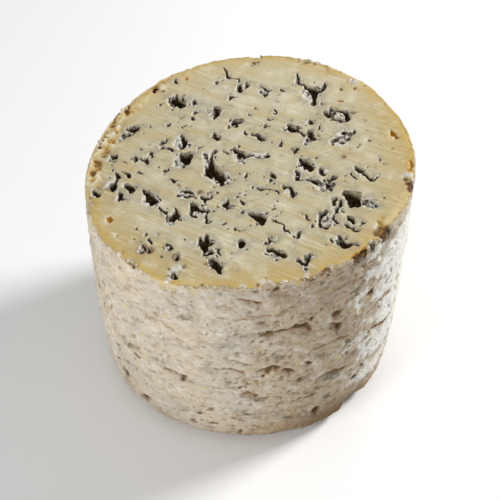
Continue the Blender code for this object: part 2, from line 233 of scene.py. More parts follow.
# Small eyes and broken veins
smallHollows = [
    [(-26.9, 41, .5)], [(-31.9, 34.3, .6)], [(-22.6, 6.8, .9)], [(-4.4, 9.8, .4)], [(-7.3, 8.3, .5)],
    [(-13.5, 7.8, .9), (-14.4, 5.5, .8), (-14.8, 3, .7), (-14.9, .5, 1)],
    [(-9.6, 7.7, .5), (-8.6, 6.5, .6)], [(-48.7, 24, 1.2), (-46.9, 24.5, 1), (-45.2, 23.4, 1.1)],
    [(-46.2, 22.2, .8), (-48, 20.6, 1), (-49.8, 19.3, 1)], [(-49.8, 19.3, .8), (-51.6, 16.9, .4)],
    [(-50.8, 21, .6)], [(-7.9, 25.5, .5)], [(-8.3, 23, .7), (-8.6, 20.8, .6)],
    [(-6.6, 21.4, .6), (-5.2, 20.6, .5)], [(-13, 17.8, .7), (-12.3, 16.2, 1.1), (-11.8, 14.8, .5)],
    [(-31.6, 11, .7), (-30.8, 9.8, .5)], [(-34.8, 14.9, .7), (-33.6, 14.3, .8), (-33.1, 15.3, .6)],
    [(-4.2, 45.6, .7), (-3.9, 43.6, 1.1), (-4, 42, .6)], [(-1.3, 45.4, .8), (-1.8, 46.6, .4)],
    [(-4.8, 49.6, .5), (-4.5, 48.2, .5)],
    [(-12, 57.4, .3), (-10.3, 55, .5), (-9.9, 51.8, .5), (-9.2, 50.6, .5)],
    [(-9.2, 50.6, .5), (-7, 50.6, .3), (-5.2, 50, .4)], [(-14.6, 48.8, .5), (-13.8, 47.6, .5)],
    [(-36.2, 37, .5), (-37.2, 35.8, .4)], [(-22, 37.4, .6), (-22.4, 35.8, .8)], [(-24.6, 35.7, .5)],
    [(-22.1, 31, .4), (-21.5, 30.2, .5)], [(-22.5, 28.2, .5), (-22, 27, .7)],
    [(-28.4, 28, .4), (-26.9, 28.6, .4)], [(-32.6, 25, .8)], [(-26.7, 22.6, .4), (-25.6, 23.8, .4)],
    [(-39.7, 24, .45)], [(-9.3, 37.2, .4), (-8.1, 38.5, .6), (-7, 39.2, .5), (-5.8, 38.6, .3)],
    [(-44.6, 6.8, .5), (-43.9, 4.8, .7)],
    [(-41.9, 6.2, .8), (-41.2, 5, .7), (-40, 6.4, .6), (-39.5, 3, .6)], [(-43, 11.5, .5)],
    [(-39.6, 8.5, .6), (-38.7, 9.6, .5), (-37.6, 7.4, .5)], [(-52.7, 8.8, .9), (-54.6, 9.2, .5)],
    [(-54.8, 6.6, .9), (-53.6, 5.4, .6)], [(-20.2, 9.7, .7), (-19.3, 11.3, .5)], [(-20.8, 8.8, .4)],
    [(-31.5, 50.3, .5), (-31.2, 51.6, .4)], [(-1.4, 17.4, .6), (-.7, 16.4, .6)], [(-.4, 27.6, .5)],
    [(-49.3, 4.6, .3)], [(26.5, 37.4, 1.3), (26.4, 34.4, .9), (25.6, 32.2, 1.1)], [(18.2, 43.8, .4)],
    [(29, 31.6, .5), (29.8, 30.9, .4)], [(19.2, 15.6, .5), (20.8, 14.8, .5), (21.2, 13.6, .4)],
    [(21.9, 8.4, 1)], [(27.2, 18, .3), (27.1, 16, .4)], [(28.7, 14.4, .4)], [(36.3, 8.1, 1.1)],
    [(37.4, 8.8, .8)], [(40.6, 12.4, .8), (40.8, 13.8, .5)], [(33, 7.6, .8)],
    [(5.6, 44, .4), (6, 42.2, .8), (6.6, 41, 1), (8.2, 41.2, .6)],
    [(5.4, 39.4, .7), (6.8, 38.6, .6), (5.4, 37.4, .5)], [(12.6, 40.8, .5), (13.3, 40.2, .5)],
    [(24, 21, .8), (23.8, 22.4, .4)], [(24.6, 20.4, .5)], [(5.6, 20, .7), (7, 20.6, .8), (7.8, 19.4, .4)],
    [(10, 30, .3), (10.4, 28.8, .5), (10.6, 27.4, .4), (10.2, 26.4, .7)], [(7.6, 24, .35), (8.6, 23.6, .4)],
    [(12.2, 10.6, .4), (11.8, 8.4, .7), (12.4, 7.8, .4)],
    [(17.2, 5.4, .4), (17.9, 4.6, .6), (18.8, 5.6, .4)], [(46.4, 8, .5)], [(13.7, 17.4, .4)],
    [(41.3, 24.5, .5)], [(-48, -1.6, .4), (-46.8, -2.2, .7), (-46.2, -3.9, .7)],
    [(-46.6, -8.8, 1), (-45.2, -9.2, 1.2), (-45, -11, .9)], [(-43.2, -9.4, .5), (-42.7, -9.6, .3)],
    [(-49.5, -12.4, 1), (-49.5, -14.4, 1.1), (-49.8, -16, .6)], [(-58.8, -11.2, 1), (-57.8, -12, .5)],
    [(-42.6, -1.6, .4), (-41.7, -2, .4)], [(-33, -.6, .5), (-31.9, -.9, .7), (-30.9, -.4, .4)],
    [(-25, .2, .7)], [(-29.7, -6.4, .4), (-29.2, -7.6, .8)],
    [(-24, -16.6, .4), (-22, -16.4, .4), (-20, -16.6, .5)],
    [(-18.4, -17.2, .6), (-16.6, -18, .9), (-15.2, -17.6, .7)], [(-15.2, -17.6, .7), (-14.6, -16.4, .4)],
    [(-17, -19.4, .5)], [(-12.6, -15.2, .5), (-11.8, -15.6, .4)], [(-20.4, -25.8, .7), (-19.4, -27.2, .6)],
    [(-15.6, -26.6, .6), (-15.2, -28.2, .5), (-16, -29.9, .5)],
    [(-16, -29.9, .5), (-14.6, -30.2, .6), (-13.2, -29.2, .5)],
    [(-34, -21.2, .5), (-32.4, -22, .6), (-31.2, -23.6, .6)],
    [(-8.6, -20, .8), (-8.6, -21.8, 1.3), (-8, -23.4, .9)], [(-6, -22.2, .5)], [(-11.6, -22.3, .4)],
    [(-4.8, -18, .6)], [(-3.4, -20.2, .4), (-2.4, -21, .5), (-1.8, -22, .6)],
    [(-1.9, -25.8, .8), (-1.9, -27.4, .4)], [(-9.2, -31.3, .5)], [(-4.5, -34.3, .6), (-4, -35.4, .4)],
    [(-2.3, -35.7, .4)], [(-16.8, -40.4, 1.1), (-17.8, -37.8, .5)],
    [(-15.2, -43.8, .6), (-14.8, -45.2, 1), (-13, -45.4, .8), (-12.2, -45.2, .4)],
    [(-11, -44, .4), (-10, -46, .5)], [(-14.2, -47.8, .4)], [(-9.6, -54.6, .6), (-9, -55.6, .4)],
    [(-38.5, -34.3, .5)], [(-41.4, -30.8, .5)], [(-38.8, -41, .9), (-38.4, -42.4, 1.2), (-38.8, -43.6, .8)],
    [(-35.9, -41.6, .9), (-35.6, -43, .8)], [(-29.2, -39.4, .8), (-28.8, -41, .9), (-28, -42.2, .7)],
    [(-30.8, -41.4, .4)], [(-26.1, -54.9, 1.2), (-25.2, -56, .8)], [(-26.2, -46.8, .8)],
    [(-2.2, -40.8, .9), (-1.6, -42, 1.2), (-1.6, -43.6, .8)], [(-.9, -6.2, .4), (-.8, -7.6, .6)],
    [(18.8, -6.6, .8), (18.6, -8.4, .7), (18.8, -9.6, .6)],
    [(28.2, -6.4, .9), (28.4, -8, 1), (28.6, -9, .6)],
    [(19.2, -10.2, .4), (21.4, -10.8, .5), (23.4, -11, .6), (25.2, -12, .6), (26.6, -13, .6)],
    [(34, -10.4, .6), (32.6, -11, 1), (31.4, -12.4, .7), (30, -11.8, .6)],
    [(27.4, -13.6, .6), (28.2, -15, .7)], [(30, -16.4, .6), (31.2, -17.4, .7)], [(32.2, -14.6, .6)],
    [(41.8, -7.4, 1.1), (43, -8.6, 1.1), (43.8, -9.8, .6)],
    [(43.8, -9.8, .6), (45.2, -11.4, .5), (46.8, -13.2, .6), (47.8, -13.8, .6), (48.4, -12.4, .4)],
    [(44.2, -7, .4)], [(38.2, -9.4, .5), (39, -10.6, .4), (40.6, -12.4, .4)],
    [(8.4, -6.6, .6), (9, -8, .8), (10, -8.8, .5)], [(8.3, -10.4, .6)], [(.8, -12.8, .6)],
    [(3.2, -13.2, .5), (4.8, -13.8, .6), (5.6, -14.8, .8), (7.4, -15, .4)],
    [(7.4, -15, .4), (8.8, -15.2, .3), (10.4, -15.8, .4), (11.4, -16.8, .4)],
    [(8.8, -25.2, .5), (9.6, -25.4, .3)], [(11.4, -21, .4)], [(34.6, -20, .4)],
    [(47, -24, .4), (47.2, -26, .5)], [(50.5, -23, .4)], [(32.4, -21, .5), (32, -23, .6), (31.8, -25, .5)],
    [(26.6, -34.2, .8), (26.4, -32.2, .6), (26.4, -30, .6)], [(26.4, -30, .6), (28.8, -29, .7)],
    [(23.6, -34.2, .6)], [(22.6, -31.6, .4), (21.2, -29.8, .3)],
    [(32, -30.4, .6), (31.4, -32.4, .7), (32.2, -34, .5)],
    [(37, -31.6, .4), (38, -33, .9), (39, -34.6, .6)], [(41, -36, .4), (42.6, -35.2, .5)],
    [(10.2, -31, .3), (11.8, -32.8, .4), (12.8, -34.4, .4), (13.8, -36.4, .5)],
    [(13.8, -36.4, .5), (15.2, -37.8, .4)], [(16.4, -39.6, .6)], [(19.2, -38.4, .8), (18, -40.2, .9)],
    [(3.6, -32.4, .6)], [(6.6, -27.6, .4)], [(5.2, -43, .4)], [(22.2, -50, .9), (21.8, -51.2, 1.1)],
    [(23.6, -49.4, .3)], [(18.4, -51.4, .8), (19.6, -52.8, .9), (21.4, -53, .7)], [(21.2, -55.6, .7)],
    [(30.4, -41.6, .6), (31, -43, .5)], [(50.7, -3, .4)],
]

# Bare golden eyes, with no mould in them
goldenEyes = [
    (56.3, 11.4, 1.5), (56.5, 9.3, 1.7), (-52.6, -25, 1.3), (-49.4, -33.8, 0.7), (-42.2, -36.6, 0.7),
    (37.4, 31.5, 0.8), (35.8, 31.3, 0.6), (46.0, 8.2, 0.7), (46.0, 13.7, 0.35), (58.1, -2.6, 0.5),
    (59.2, -4.5, 0.4), (49.8, -11.6, 0.45), (53.1, -12.5, 0.5), (50.3, 5.0, 0.35), (55.2, 2.3, 0.35),
]

# White mounds of mould inside hollows
mounds = [
    (-38.9, -41.9, 1.0), (-26.4, -54.6, 0.9), (35.4, 22.8, 0.9), (33.4, 23.8, 0.6), (-27.8, 14.3, 1.3),
    (-27.0, 3.0, 1.2), (28.4, -15.2, 1.3), (30.4, -33.2, 1.2), (45.6, -25.6, 1.5), (-29.2, -41.0, 0.7),
    (-19.2, -24.6, 0.9), (-28.6, -29.4, 1.0), (18.4, -8.2, 0.7), (24.6, 36.4, 1.0), (-15.6, 28.6, 0.9),
    (-6.2, 22.2, 0.7), (-14.6, -44.8, 0.8), (-23.6, -14.6, 0.7), (36.6, 10.2, 1.0), (5.2, 40.6, 0.8),
    (34.2, -42.6, 0.7),
]

# Lumps of white mould that stand on the cut and along its rim
whiteLumps = [
    (-26.8, -52.4, 1.1), (-24.8, -52.0, 1.2), (-23.4, -52.8, 0.7), (-28.0, -54.4, 0.7), (-27.9, -56.8, 1.0),
    (-28.9, -58.0, 0.8), (-39.6, -40.8, 0.8), (-40.2, -42.6, 0.6), (-1.4, -62.2, 0.9), (5.6, -60.9, 0.8),
    (7.8, -61.3, 1.0), (59.4, -11.8, 1.0), (61.2, -12.7, 0.9), (62.0, -15.0, 0.7), (58.2, -12.9, 0.6),
    (42.6, 43.0, 1.2), (41.2, 44.2, 0.8), (46.4, -37.4, 0.7), (44.6, -44.6, 0.7), (21.4, -58.6, 0.7),
]

# Chips along the rim: angle, length along the rim, width and depth
rimChips = [
    (-15.5, 6.5, 2.8, 2.6), (-38.5, 7.0, 2.9, 2.8), (-50.5, 8.4, 2.6, 2.4), (-45.4, 2.6, 2.2, 1.8),
    (130, 5, 3, 0.6), (88, 5, 2.6, 0.8),
]

# Marks in the paste: brown and ochre stains, mostly near the rim, and pale lumps of mould
brownMarks = [
    (-39.2, 46, 1.4), (-37.6, 47.6, .7), (-36.2, 44.8, .6), (-50, 36, .7), (-50.6, 34, .8),
    (-57.6, 21.5, .8), (-59.6, 15.5, .6), (-59.6, 13, .9), (37.3, 39, .7), (45.8, 19.4, .5),
    (36.6, -.4, .8), (42.3, 4.4, .5), (43, 5.2, .4), (39.3, 3.4, .3), (38.8, 1.8, .3), (2.3, 31, .4),
    (41.9, 44, .4), (41.8, 42, .5), (42.9, 38.8, .6), (54.6, 28.5, .5), (1.5, 59.2, .8), (3.2, 59.6, .6),
    (.6, 57.5, .5), (-27.1, -9.8, .5), (-18.4, -14.2, 1), (-26.2, -46.8, 1), (-28.4, -52, .5),
    (-23.2, -51.6, .6), (-27.6, -55, .4), (59.4, -14.6, .9), (59.8, -17, 1), (60.2, -20, 1),
    (48.4, -38.8, 1.5), (46.8, -40.8, 1.2), (51.4, -38.4, 1.2), (50.4, -40.6, .9), (40, -51.8, 1.2),
    (38, -53, .9), (31.4, -56.6, .8), (3.8, -61.8, .5), (6.5, -58.8, .4), (10.6, -62.6, .8),
    (23.6, -59.8, .6),
]
brownHalos = [
    (-38.6, -42, 2.3), (-35.7, -42.4, 1.6), (-26.2, -46.8, 1.7), (-28.2, -54.6, 1.7), (-23.6, -53, 1.5),
    (-31, -40.8, 1), (-53.6, -9.6, 1.2), (-14.8, -51.4, 1.1),
]
ochreMarks = [
    (-26.4, 51.9, .9), (-28, 53.6, .5), (-54.2, 22.5, .8), (-54, 16.8, 1.2), (36.9, 31.6, .9),
    (56.6, 10, 1.3), (56.4, 8.6, 1.1), (-14.7, -50.7, .8), (-52.6, -25, .8), (62, -5.4, 1),
    (61.9, -7.2, 1.3), (61.2, -9.6, 1.2), (49.6, -33.4, .8), (48.6, -35.6, .9), (48.4, -37, .8),
    (41.8, -49.6, .7), (44.3, -48, .8),
]
paleMarks = [
    (-31.3, 24.6, .7), (-36, 47, 1.1), (26.5, 43.5, 1.4), (36.2, 23.6, 1.2), (14.3, 36.8, 2),
    (45.3, 8.4, .7), (-58.5, -13, .6), (-26, -54.2, .9), (-25.6, -53.4, .8), (-27.2, -56.4, .6),
    (-42, -47.4, .8), (-43, -46, .5), (-49.6, -33.8, .8), (-42.2, -36.4, .8), (17.8, -38.8, .7),
    (22, -55, .4), (60.2, -12.8, .6), (6, -60.5, 1),
]

paste = {
    "reach": 66.5, "step": 0.36, "topLevel": 1.0, "firstLevel": 0.2, "levelGrowth": 1.085, "levels": 25,
    "warp": ((2.4, 0.5), (1.2, 0.36), (0.8, 0.24)),    # (length, reach) of the waves that bend every outline
    "deep": (2.3, 0.0, 1.18, 0.35),        # depth for the half width, depth added, widening, sink
    "small": (1.9, 0.4, 1.15, 0.2), "smallShare": 1.18,
    "shelf": (0.4, 0.4, 1.05, 0.0),
    "stain": (0.6, 0.15, 1.0, 0.0),
    "eye": (0.7, 0.4, 1.0, 0.2),
    "wallGrain": ((1.0, 0.18), (0.6, 0.08)),
    "hazeReach": 7.0, "lipWidth": (0.75, 0.3, 1.0),    # lip: share of the half width, least, most
    "bevelDepth": 0.6, "lipHeight": 0.1,
    "taper": 2.2, "overRind": 0.3, "spillOver": 0.5, "spillAt": -118.0,
    "bulgeAt": -24.0, "bulgeHalf": 24.0, "bulgeRise": 0.4,
    "tornFrom": 116.0, "tornTo": 196.0, "tornWidth": 7.0, "tornRise": 0.8,
    "specks": 380, "speckSeed": 5,
    "triangles": 190000,
    "Streak length": 16.0, "Streak width": 1.2, "Streak depth": 0.19, "Streak turn": math.radians(31),
    "Grain size": 1.0, "Grain depth": 0.1,
}


def speckChains():
    # Tiny eyes strewn near the hollows, thinning out towards the rim
    rng = random.Random(paste["speckSeed"])
    anchors = [point for chain in deepHollows + smallHollows for point in chain]
    chains = []
    while len(chains) < paste["specks"]:
        x, y, _ = rng.choice(anchors)
        x += rng.gauss(0, 2.4)
        y += rng.gauss(0, 2.4)
        if math.hypot(x, y) < 56:
            chains.append([(x, y, rng.uniform(0.18, 0.36))])
    return chains


def segmentsOf(chains, kind):
    for chain in chains:
        ends = zip(chain, chain[1:]) if len(chain) > 1 else [(chain[0], chain[0])]
        for start, end in ends:
            yield start, end, kind


def reachTo(x, y, start, end):
    # Distance to a segment, and the half width at the nearest place on it
    ax, ay, aw = start
    bx, by, bw = end
    long = (bx - ax) ** 2 + (by - ay) ** 2
    t = np.clip(((x - ax) * (bx - ax) + (y - ay) * (by - ay)) / long, 0, 1) if long else x * 0
    return np.hypot(x - ax - t * (bx - ax), y - ay - t * (by - ay)), aw + t * (bw - aw)


def windowOf(axes, ends, reach):
    # The part of the grid within reach of these ends
    parts = [slice(*np.searchsorted(axis, (min(place) - reach, max(place) + reach)))
             for axis, place in zip(axes, zip(*ends))]
    return tuple(parts)


def pasteField():
    # Solid where positive. The third axis is the height over the cut plane
    across = np.arange(-paste["reach"], paste["reach"], paste["step"])
    gaps = paste["firstLevel"] * paste["levelGrowth"] ** np.arange(paste["levels"] - 1)
    levels = (paste["topLevel"] - np.append(0, np.cumsum(gaps)))[::-1]
    axes = (across, across + drum["axis"][1], levels)
    x, y = np.meshgrid(axes[0], axes[1], indexing="ij")
    bentX, bentY = x.copy(), y.copy()
    for number, (length, reach) in enumerate(paste["warp"]):
        bentX += reach * latticeNoise(axes[:2], (length, length), 10 + number)
        bentY += reach * latticeNoise(axes[:2], (length, length), 20 + number)
    radius = np.hypot(x - drum["axis"][0], y - drum["axis"][1])
    angle = np.degrees(np.arctan2(y - drum["axis"][1], x - drum["axis"][0]))
    side = atRim(rimRadius, angle) - atRim(rimThickness, angle) - radius
    side = side + paste["overRind"] + paste["spillOver"] * spillShare(angle)
    grain = sum(reach * latticeNoise(axes, (length,) * 3, 40 + number)
                for number, (length, reach) in enumerate(paste["wallGrain"]))
    hollows = np.full(grain.shape, farOff)
    near = np.full(x.shape, farOff)
    reachOut = np.full(x.shape, 1.0)
    wet = np.full(x.shape, farOff)
    chains = [*segmentsOf(deepHollows, "deep"), *segmentsOf(mouldShelves, "shelf"),
              *segmentsOf(smallHollows, "small"), *segmentsOf(speckChains(), "small"),
              *segmentsOf([[mark] for mark in brownMarks + ochreMarks], "stain"),
              *segmentsOf([[mark] for mark in goldenEyes], "eye")]
    share, least, most = paste["lipWidth"]
    for start, end, kind in chains:
        slope, extra, widen, sink = paste[kind]
        part = windowOf(axes[:2], (start, end), max(start[2], end[2]) * 1.3 + paste["hazeReach"])
        away, width = reachTo(bentX[part], bentY[part], start, end)
        width = width * (paste["smallShare"] if kind in ("small", "shelf") else 1)
        depth = slope * width + extra
        sunk = (sink * depth)[..., None]
        half = depth[..., None] - sunk
        wide = (width * widen)[..., None]
        ring = np.sqrt((away[..., None] / wide) ** 2 + ((levels + sunk) / half) ** 2)
        hollow = (ring - 1) * np.minimum(wide, half) + grain[part] * (2.2 if kind == "shelf" else 1)
        hollows[part] = np.minimum(hollows[part], hollow)
        if kind not in ("stain", "eye"):
            # Edges count for less round a small hollow, so near is a share of the hollow's own lip
            wideLip = np.clip(width * share, least, most)
            closer = (away - width) / wideLip < near[part]
            reachOut[part] = np.where(closer, wideLip, reachOut[part])
            near[part] = np.where(closer, (away - width) / wideLip, near[part])
        if kind in ("deep", "small"):
            wet[part] = np.minimum(wet[part], (away - width) / wideLip)
    for moundX, moundY, width in mounds:
        part = windowOf(axes[:2], ((moundX, moundY),), 3)
        away = np.hypot(bentX[part] - moundX, bentY[part] - moundY)[..., None]
        ball = width - np.sqrt(away ** 2 + (levels + 0.25 + width) ** 2) + 1.5 * grain[part]
        hollows[part] = np.maximum(hollows[part], ball)
    # The lean is 1 to the left of a hollow, where the paste was dragged down, and 0 to its right; the
    # material paints the left side lighter as painted light and the right side darker as painted shade
    slopeX, slopeY = np.gradient(near)
    litLean = 0.5 - 0.5 * (0.85 * slopeX + 0.5 * slopeY) / (np.hypot(slopeX, slopeY) + 1e-6)
    litLean = smoothStep(litLean, 0.2, 0.8)
    top, torn, lumps, chip, bulge = pasteTop(axes, side, angle, near, reachOut * (0.2 + 0.8 * litLean))
    for lumpX, lumpY, width in whiteLumps:
        top += 0.5 * width * smoothBump(np.hypot(bentX - lumpX, bentY - lumpY) / (1.2 * width))
    below = top[..., None] - levels
    field = np.minimum(below, side[..., None] - paste["taper"] * smoothStep(below, 0.9, 2.6))
    maps = {"near": near, "dark": wet, "side": side, "top": top, "torn": torn, "lumps": lumps, "chip": chip,
            "litLean": litLean, "bulge": bulge}
    return np.minimum(field, hollows), axes, maps


def spillShare(angle):
    # Where round the rim the paste spills over the rind
    return smoothStep(angleGap(angle, paste["spillAt"]), 8, 2)


def tornShare(angle):
    # Where round the rim the wire tore the paste open: 1 along the far left
    share = smoothStep(angle % 360, paste["tornFrom"], paste["tornFrom"] + 14)
    return share * (1 - smoothStep(angle % 360, paste["tornTo"] - 14, paste["tornTo"]))


def pasteTop(axes, side, angle, near, reachOut):
    # Height of the cut over its plane: a wire-cut skin with rounded edges to its hollows
    flat = axes[:2]
    top = 0.14 * latticeNoise(flat, (15, 15), 1) + 0.05 * latticeNoise(flat, (4, 4), 2)
    wider = smoothStep(angle % 360, paste["tornFrom"] + 20, paste["tornFrom"] + 44)
    edge = paste["tornWidth"] * (0.55 + 0.45 * wider) + 1.5 * latticeNoise(flat, (4, 4), 3)
    torn = tornShare(angle) * (1 - smoothStep(side, edge - 2.5, edge))
    lumps = 1.2 * (0.4 - np.abs(latticeNoise(flat, (2.8, 2.8), 4)))
    lumps += 0.8 * (0.35 - np.abs(latticeNoise(flat, (1.2, 1.2), 5)))
    top += torn * (lumps * 0.8 + paste["tornRise"])
    top += edgeSwell(angle) * (1 - smoothStep(side, 0.5, 7))
    rough = 1 - smoothStep(side, 0.5, 4)
    top += rough * 0.16 * latticeNoise(flat, (1.6, 1.6), 6)
    dragged = np.roll(near, (-1, -1), axis=(0, 1)) + 0.3 * latticeNoise(flat, (1.2, 1.2), 8)
    uneven = np.clip(0.8 + 0.5 * latticeNoise(flat, (3, 3), 9), 0.2, 1.3)
    bevel = (1 - smoothStep(dragged, -0.5, 0.6)) * uneven
    top -= paste["bevelDepth"] * bevel * reachOut
    lip = np.exp(-((dragged - 0.85) / 0.35) ** 2)
    top += paste["lipHeight"] * lip * reachOut
    bulge = smoothBump((side - 2.0) / 2.6)
    bulge = bulge * smoothBump(angleGap(angle, paste["bulgeAt"]) / paste["bulgeHalf"])
    top += paste["bulgeRise"] * bulge * (1 + 0.6 * latticeNoise(flat, (3.0, 3.0), 12))
    chip = chipDepth(angle, side + atRim(rimThickness, angle))
    top -= chip + smoothStep(chip, 0.2, 1.0) * 0.3 * latticeNoise(flat, (1.0, 1.0), 14)
    edge = 0.32 * np.exp(-np.maximum(side, 0) / 0.5)
    return top - edge * (1 - spillShare(angle)), torn, lumps, chip, bulge


def surfaceNet(field, axes):
    # One point in each cell that the surface crosses, and one quad across each grid edge that it crosses
    solid = field > 0
    size = np.array(field.shape) - 1
    corners = np.zeros(size, np.int8)
    for shift in np.ndindex(2, 2, 2):
        corners += solid[tuple(slice(s, s + n) for s, n in zip(shift, size))]
    mixed = (corners > 0) & (corners < 8)
    index = np.full(size, -1)
    index[mixed] = np.arange(mixed.sum())
    cell = np.argwhere(mixed)
    total = np.zeros((len(cell), 3))
    crossings = np.zeros(len(cell))
    faces = []
    for axis in range(3):
        j, k = (axis + 1) % 3, (axis + 2) % 3
        step = np.eye(3, dtype=int)
        for offset in (0 * step[j], step[j], step[k], step[j] + step[k]):
            start = cell + offset
            low = field[tuple(start.T)]
            high = field[tuple((start + step[axis]).T)]
            crossed = (low > 0) != (high > 0)
            t = low[crossed] / (low[crossed] - high[crossed])
            total[crossed] += start[crossed] + t[:, None] * step[axis]
            crossings += crossed
        below = tuple(slice(0, -1) if other == axis else slice(None) for other in range(3))
        above = tuple(slice(1, None) if other == axis else slice(None) for other in range(3))
        start = np.argwhere(solid[below] != solid[above])
        inner = (start[:, j] > 0) & (start[:, k] > 0) & (start[:, j] < size[j]) & (start[:, k] < size[k])
        start = start[inner]
        ring = [index[tuple((start - back).T)] for back in (step[j] + step[k], step[k], 0 * step[j], step[j])]
        quads = np.stack(ring, axis=1)
        inward = ~solid[tuple(start.T)]
        quads[inward] = quads[inward][:, ::-1]
        faces.append(quads)
    points = total / crossings[:, None]
    points = np.stack([np.interp(points[:, a], np.arange(len(axes[a])), axes[a]) for a in range(3)], axis=1)
    return points, np.concatenate(faces)


def largestPart(points, faces):
    # Leaves out the crumbs that float free of the main surface
    label = np.arange(len(points))
    while True:
        fresh = label.copy()
        np.minimum.at(fresh, faces.ravel(), np.repeat(label[faces].min(axis=1), faces.shape[1]))
        fresh = fresh[fresh]
        if (fresh == label).all():
            break
        label = fresh
    main = np.bincount(label).argmax()
    kept = label == main
    number = np.cumsum(kept) - 1
    return points[kept], number[faces[kept[faces[:, 0]]]]


def meshFrom(name, points, faces):
    # A mesh of points in millimetres and quads or triangles
    mesh = bpy.data.meshes.new(name)
    sides = faces.shape[1]
    mesh.vertices.add(len(points))
    mesh.vertices.foreach_set("co", (points * mm).astype(np.float32).ravel())
    mesh.loops.add(faces.size)
    mesh.loops.foreach_set("vertex_index", faces.astype(np.int32).ravel())
    mesh.polygons.add(len(faces))
    mesh.polygons.foreach_set("loop_start", np.arange(0, faces.size, sides, dtype=np.int32))
    mesh.update(calc_edges=True)
    mesh.validate()
    return mesh


def pointsOf(mesh):
    points = np.empty(len(mesh.vertices) * 3, np.float32)
    mesh.vertices.foreach_get("co", points)
    return points.reshape(-1, 3).astype(float) / mm


def setAttribute(mesh, name, values):
    layer = mesh.attributes.get(name) or mesh.attributes.new(name, "FLOAT", "POINT")
    layer.data.foreach_set("value", np.asarray(values, np.float32).ravel())


def placed(name, mesh):
    made = bpy.data.objects.new(name, mesh)
    bpy.context.scene.collection.objects.link(made)
    return made


def plainMesh(made, name):
    # The evaluated object as a plain mesh, with the modifiers gone
    evaluated = made.evaluated_get(bpy.context.evaluated_depsgraph_get())
    mesh = bpy.data.meshes.new_from_object(evaluated)
    mesh.name = name
    made.modifiers.clear()
    made.data = mesh
    return mesh


def sampled(grid, axes, x, y):
    # A grid's values at these places, blended between its points
    step = axes[0][1] - axes[0][0]
    u = np.clip((x - axes[0][0]) / step, 0, len(axes[0]) - 1.001)
    v = np.clip((y - axes[1][0]) / step, 0, len(axes[1]) - 1.001)
    i, j = u.astype(int), v.astype(int)
    s, t = u - i, v - j
    low = grid[i, j] * (1 - s) + grid[i + 1, j] * s
    high = grid[i, j + 1] * (1 - s) + grid[i + 1, j + 1] * s
    return low * (1 - t) + high * t


def markStrength(marks, x, y, soft):
    found = np.zeros(len(x))
    for markX, markY, width in marks:
        away = np.hypot(x - markX, y - markY) / width
        found = np.maximum(found, 1 - smoothStep(away, 1 - soft, 1 + 2 * soft))
    return found


def buildPaste(material):
    field, axes, maps = pasteField()
    points, faces = surfaceNet(field, axes)
    points, faces = largestPart(points, faces)
    points[:, 2] += cutPlane(points[:, 0], points[:, 1])
    mesh = meshFrom("paste", points, faces)
    made = placed("paste", mesh)
    closeHoles(mesh)
    count = sum(len(polygon.vertices) - 2 for polygon in mesh.polygons)
    if count > paste["triangles"]:
        fewer = made.modifiers.new("Fewer", "DECIMATE")
        fewer.ratio = paste["triangles"] / count
        mesh = plainMesh(made, "paste")
    place = pointsOf(mesh)
    x, y = place[:, 0], place[:, 1]
    height = place[:, 2] - cutPlane(x, y)
    setAttribute(mesh, "depth", np.maximum(0, sampled(maps["top"], axes, x, y) - height))
    for name in ("near", "dark", "side", "torn", "lumps", "chip", "litLean", "bulge"):
        setAttribute(mesh, name, sampled(maps[name], axes, x, y))
    marked = (("brown", brownMarks, 0.4), ("ochre", ochreMarks, 0.5), ("pale", paleMarks, 0.5),
              ("mound", mounds, 0.3), ("eye", goldenEyes, 0.35), ("halo", brownHalos, 0.4),
              ("white", whiteLumps, 0.35))
    for name, marks, soft in marked:
        setAttribute(mesh, name, markStrength(marks, x, y, soft))
    dress(made, pasteReliefTree(), {**paste, "Material": material})
    mesh = plainMesh(made, "paste")
    mesh.shade_smooth()
    print("paste:", len(mesh.polygons), "faces")
    return made


def closeHoles(mesh):
    work = bmesh.new()
    work.from_mesh(mesh)
    border = [edge for edge in work.edges if edge.is_boundary]
    filled = bmesh.ops.holes_fill(work, edges=border, sides=0)
    bmesh.ops.triangulate(work, faces=filled["faces"])
    work.to_mesh(mesh)
    work.free()


# The rind: its grid, its lip round the paste, and the marks that the photograph shows on it
rind = {
    "frontStep": 0.6, "backStep": 0.95, "rowStep": 0.66, "footRows": 9, "bottomRows": 9,
    "lipTop": -0.8, "lipDepth": 6.0, "lipSunk": 0.3,
    "broadRelief": (12.0, 6.0, 0.32), "creaseRelief": (7.0, 2.2, 0.34), "lumpRelief": (3.0, 2.4, 0.3),
    "sink": 0.28, "most": 0.05,    # how far the relief lies under the drum, and the most it stands out
    "notchAt": -41, "notchHalf": 5, "notchHeight": 7, "notchDepth": 0.8,
    "shaveAt": (90, 180), "shave": 0.07,
    "pitCount": 150, "backPits": 90, "creaseCount": 46, "seed": 23,
    "Streak length": 2.8, "Streak rise": 2.0, "Streak depth": 0.55,
    "Crevice length": 2.6, "Crevice rise": 1.9, "Crevice depth": 0.85, "Grain size": 1.7, "Grain depth": 0.45,
}

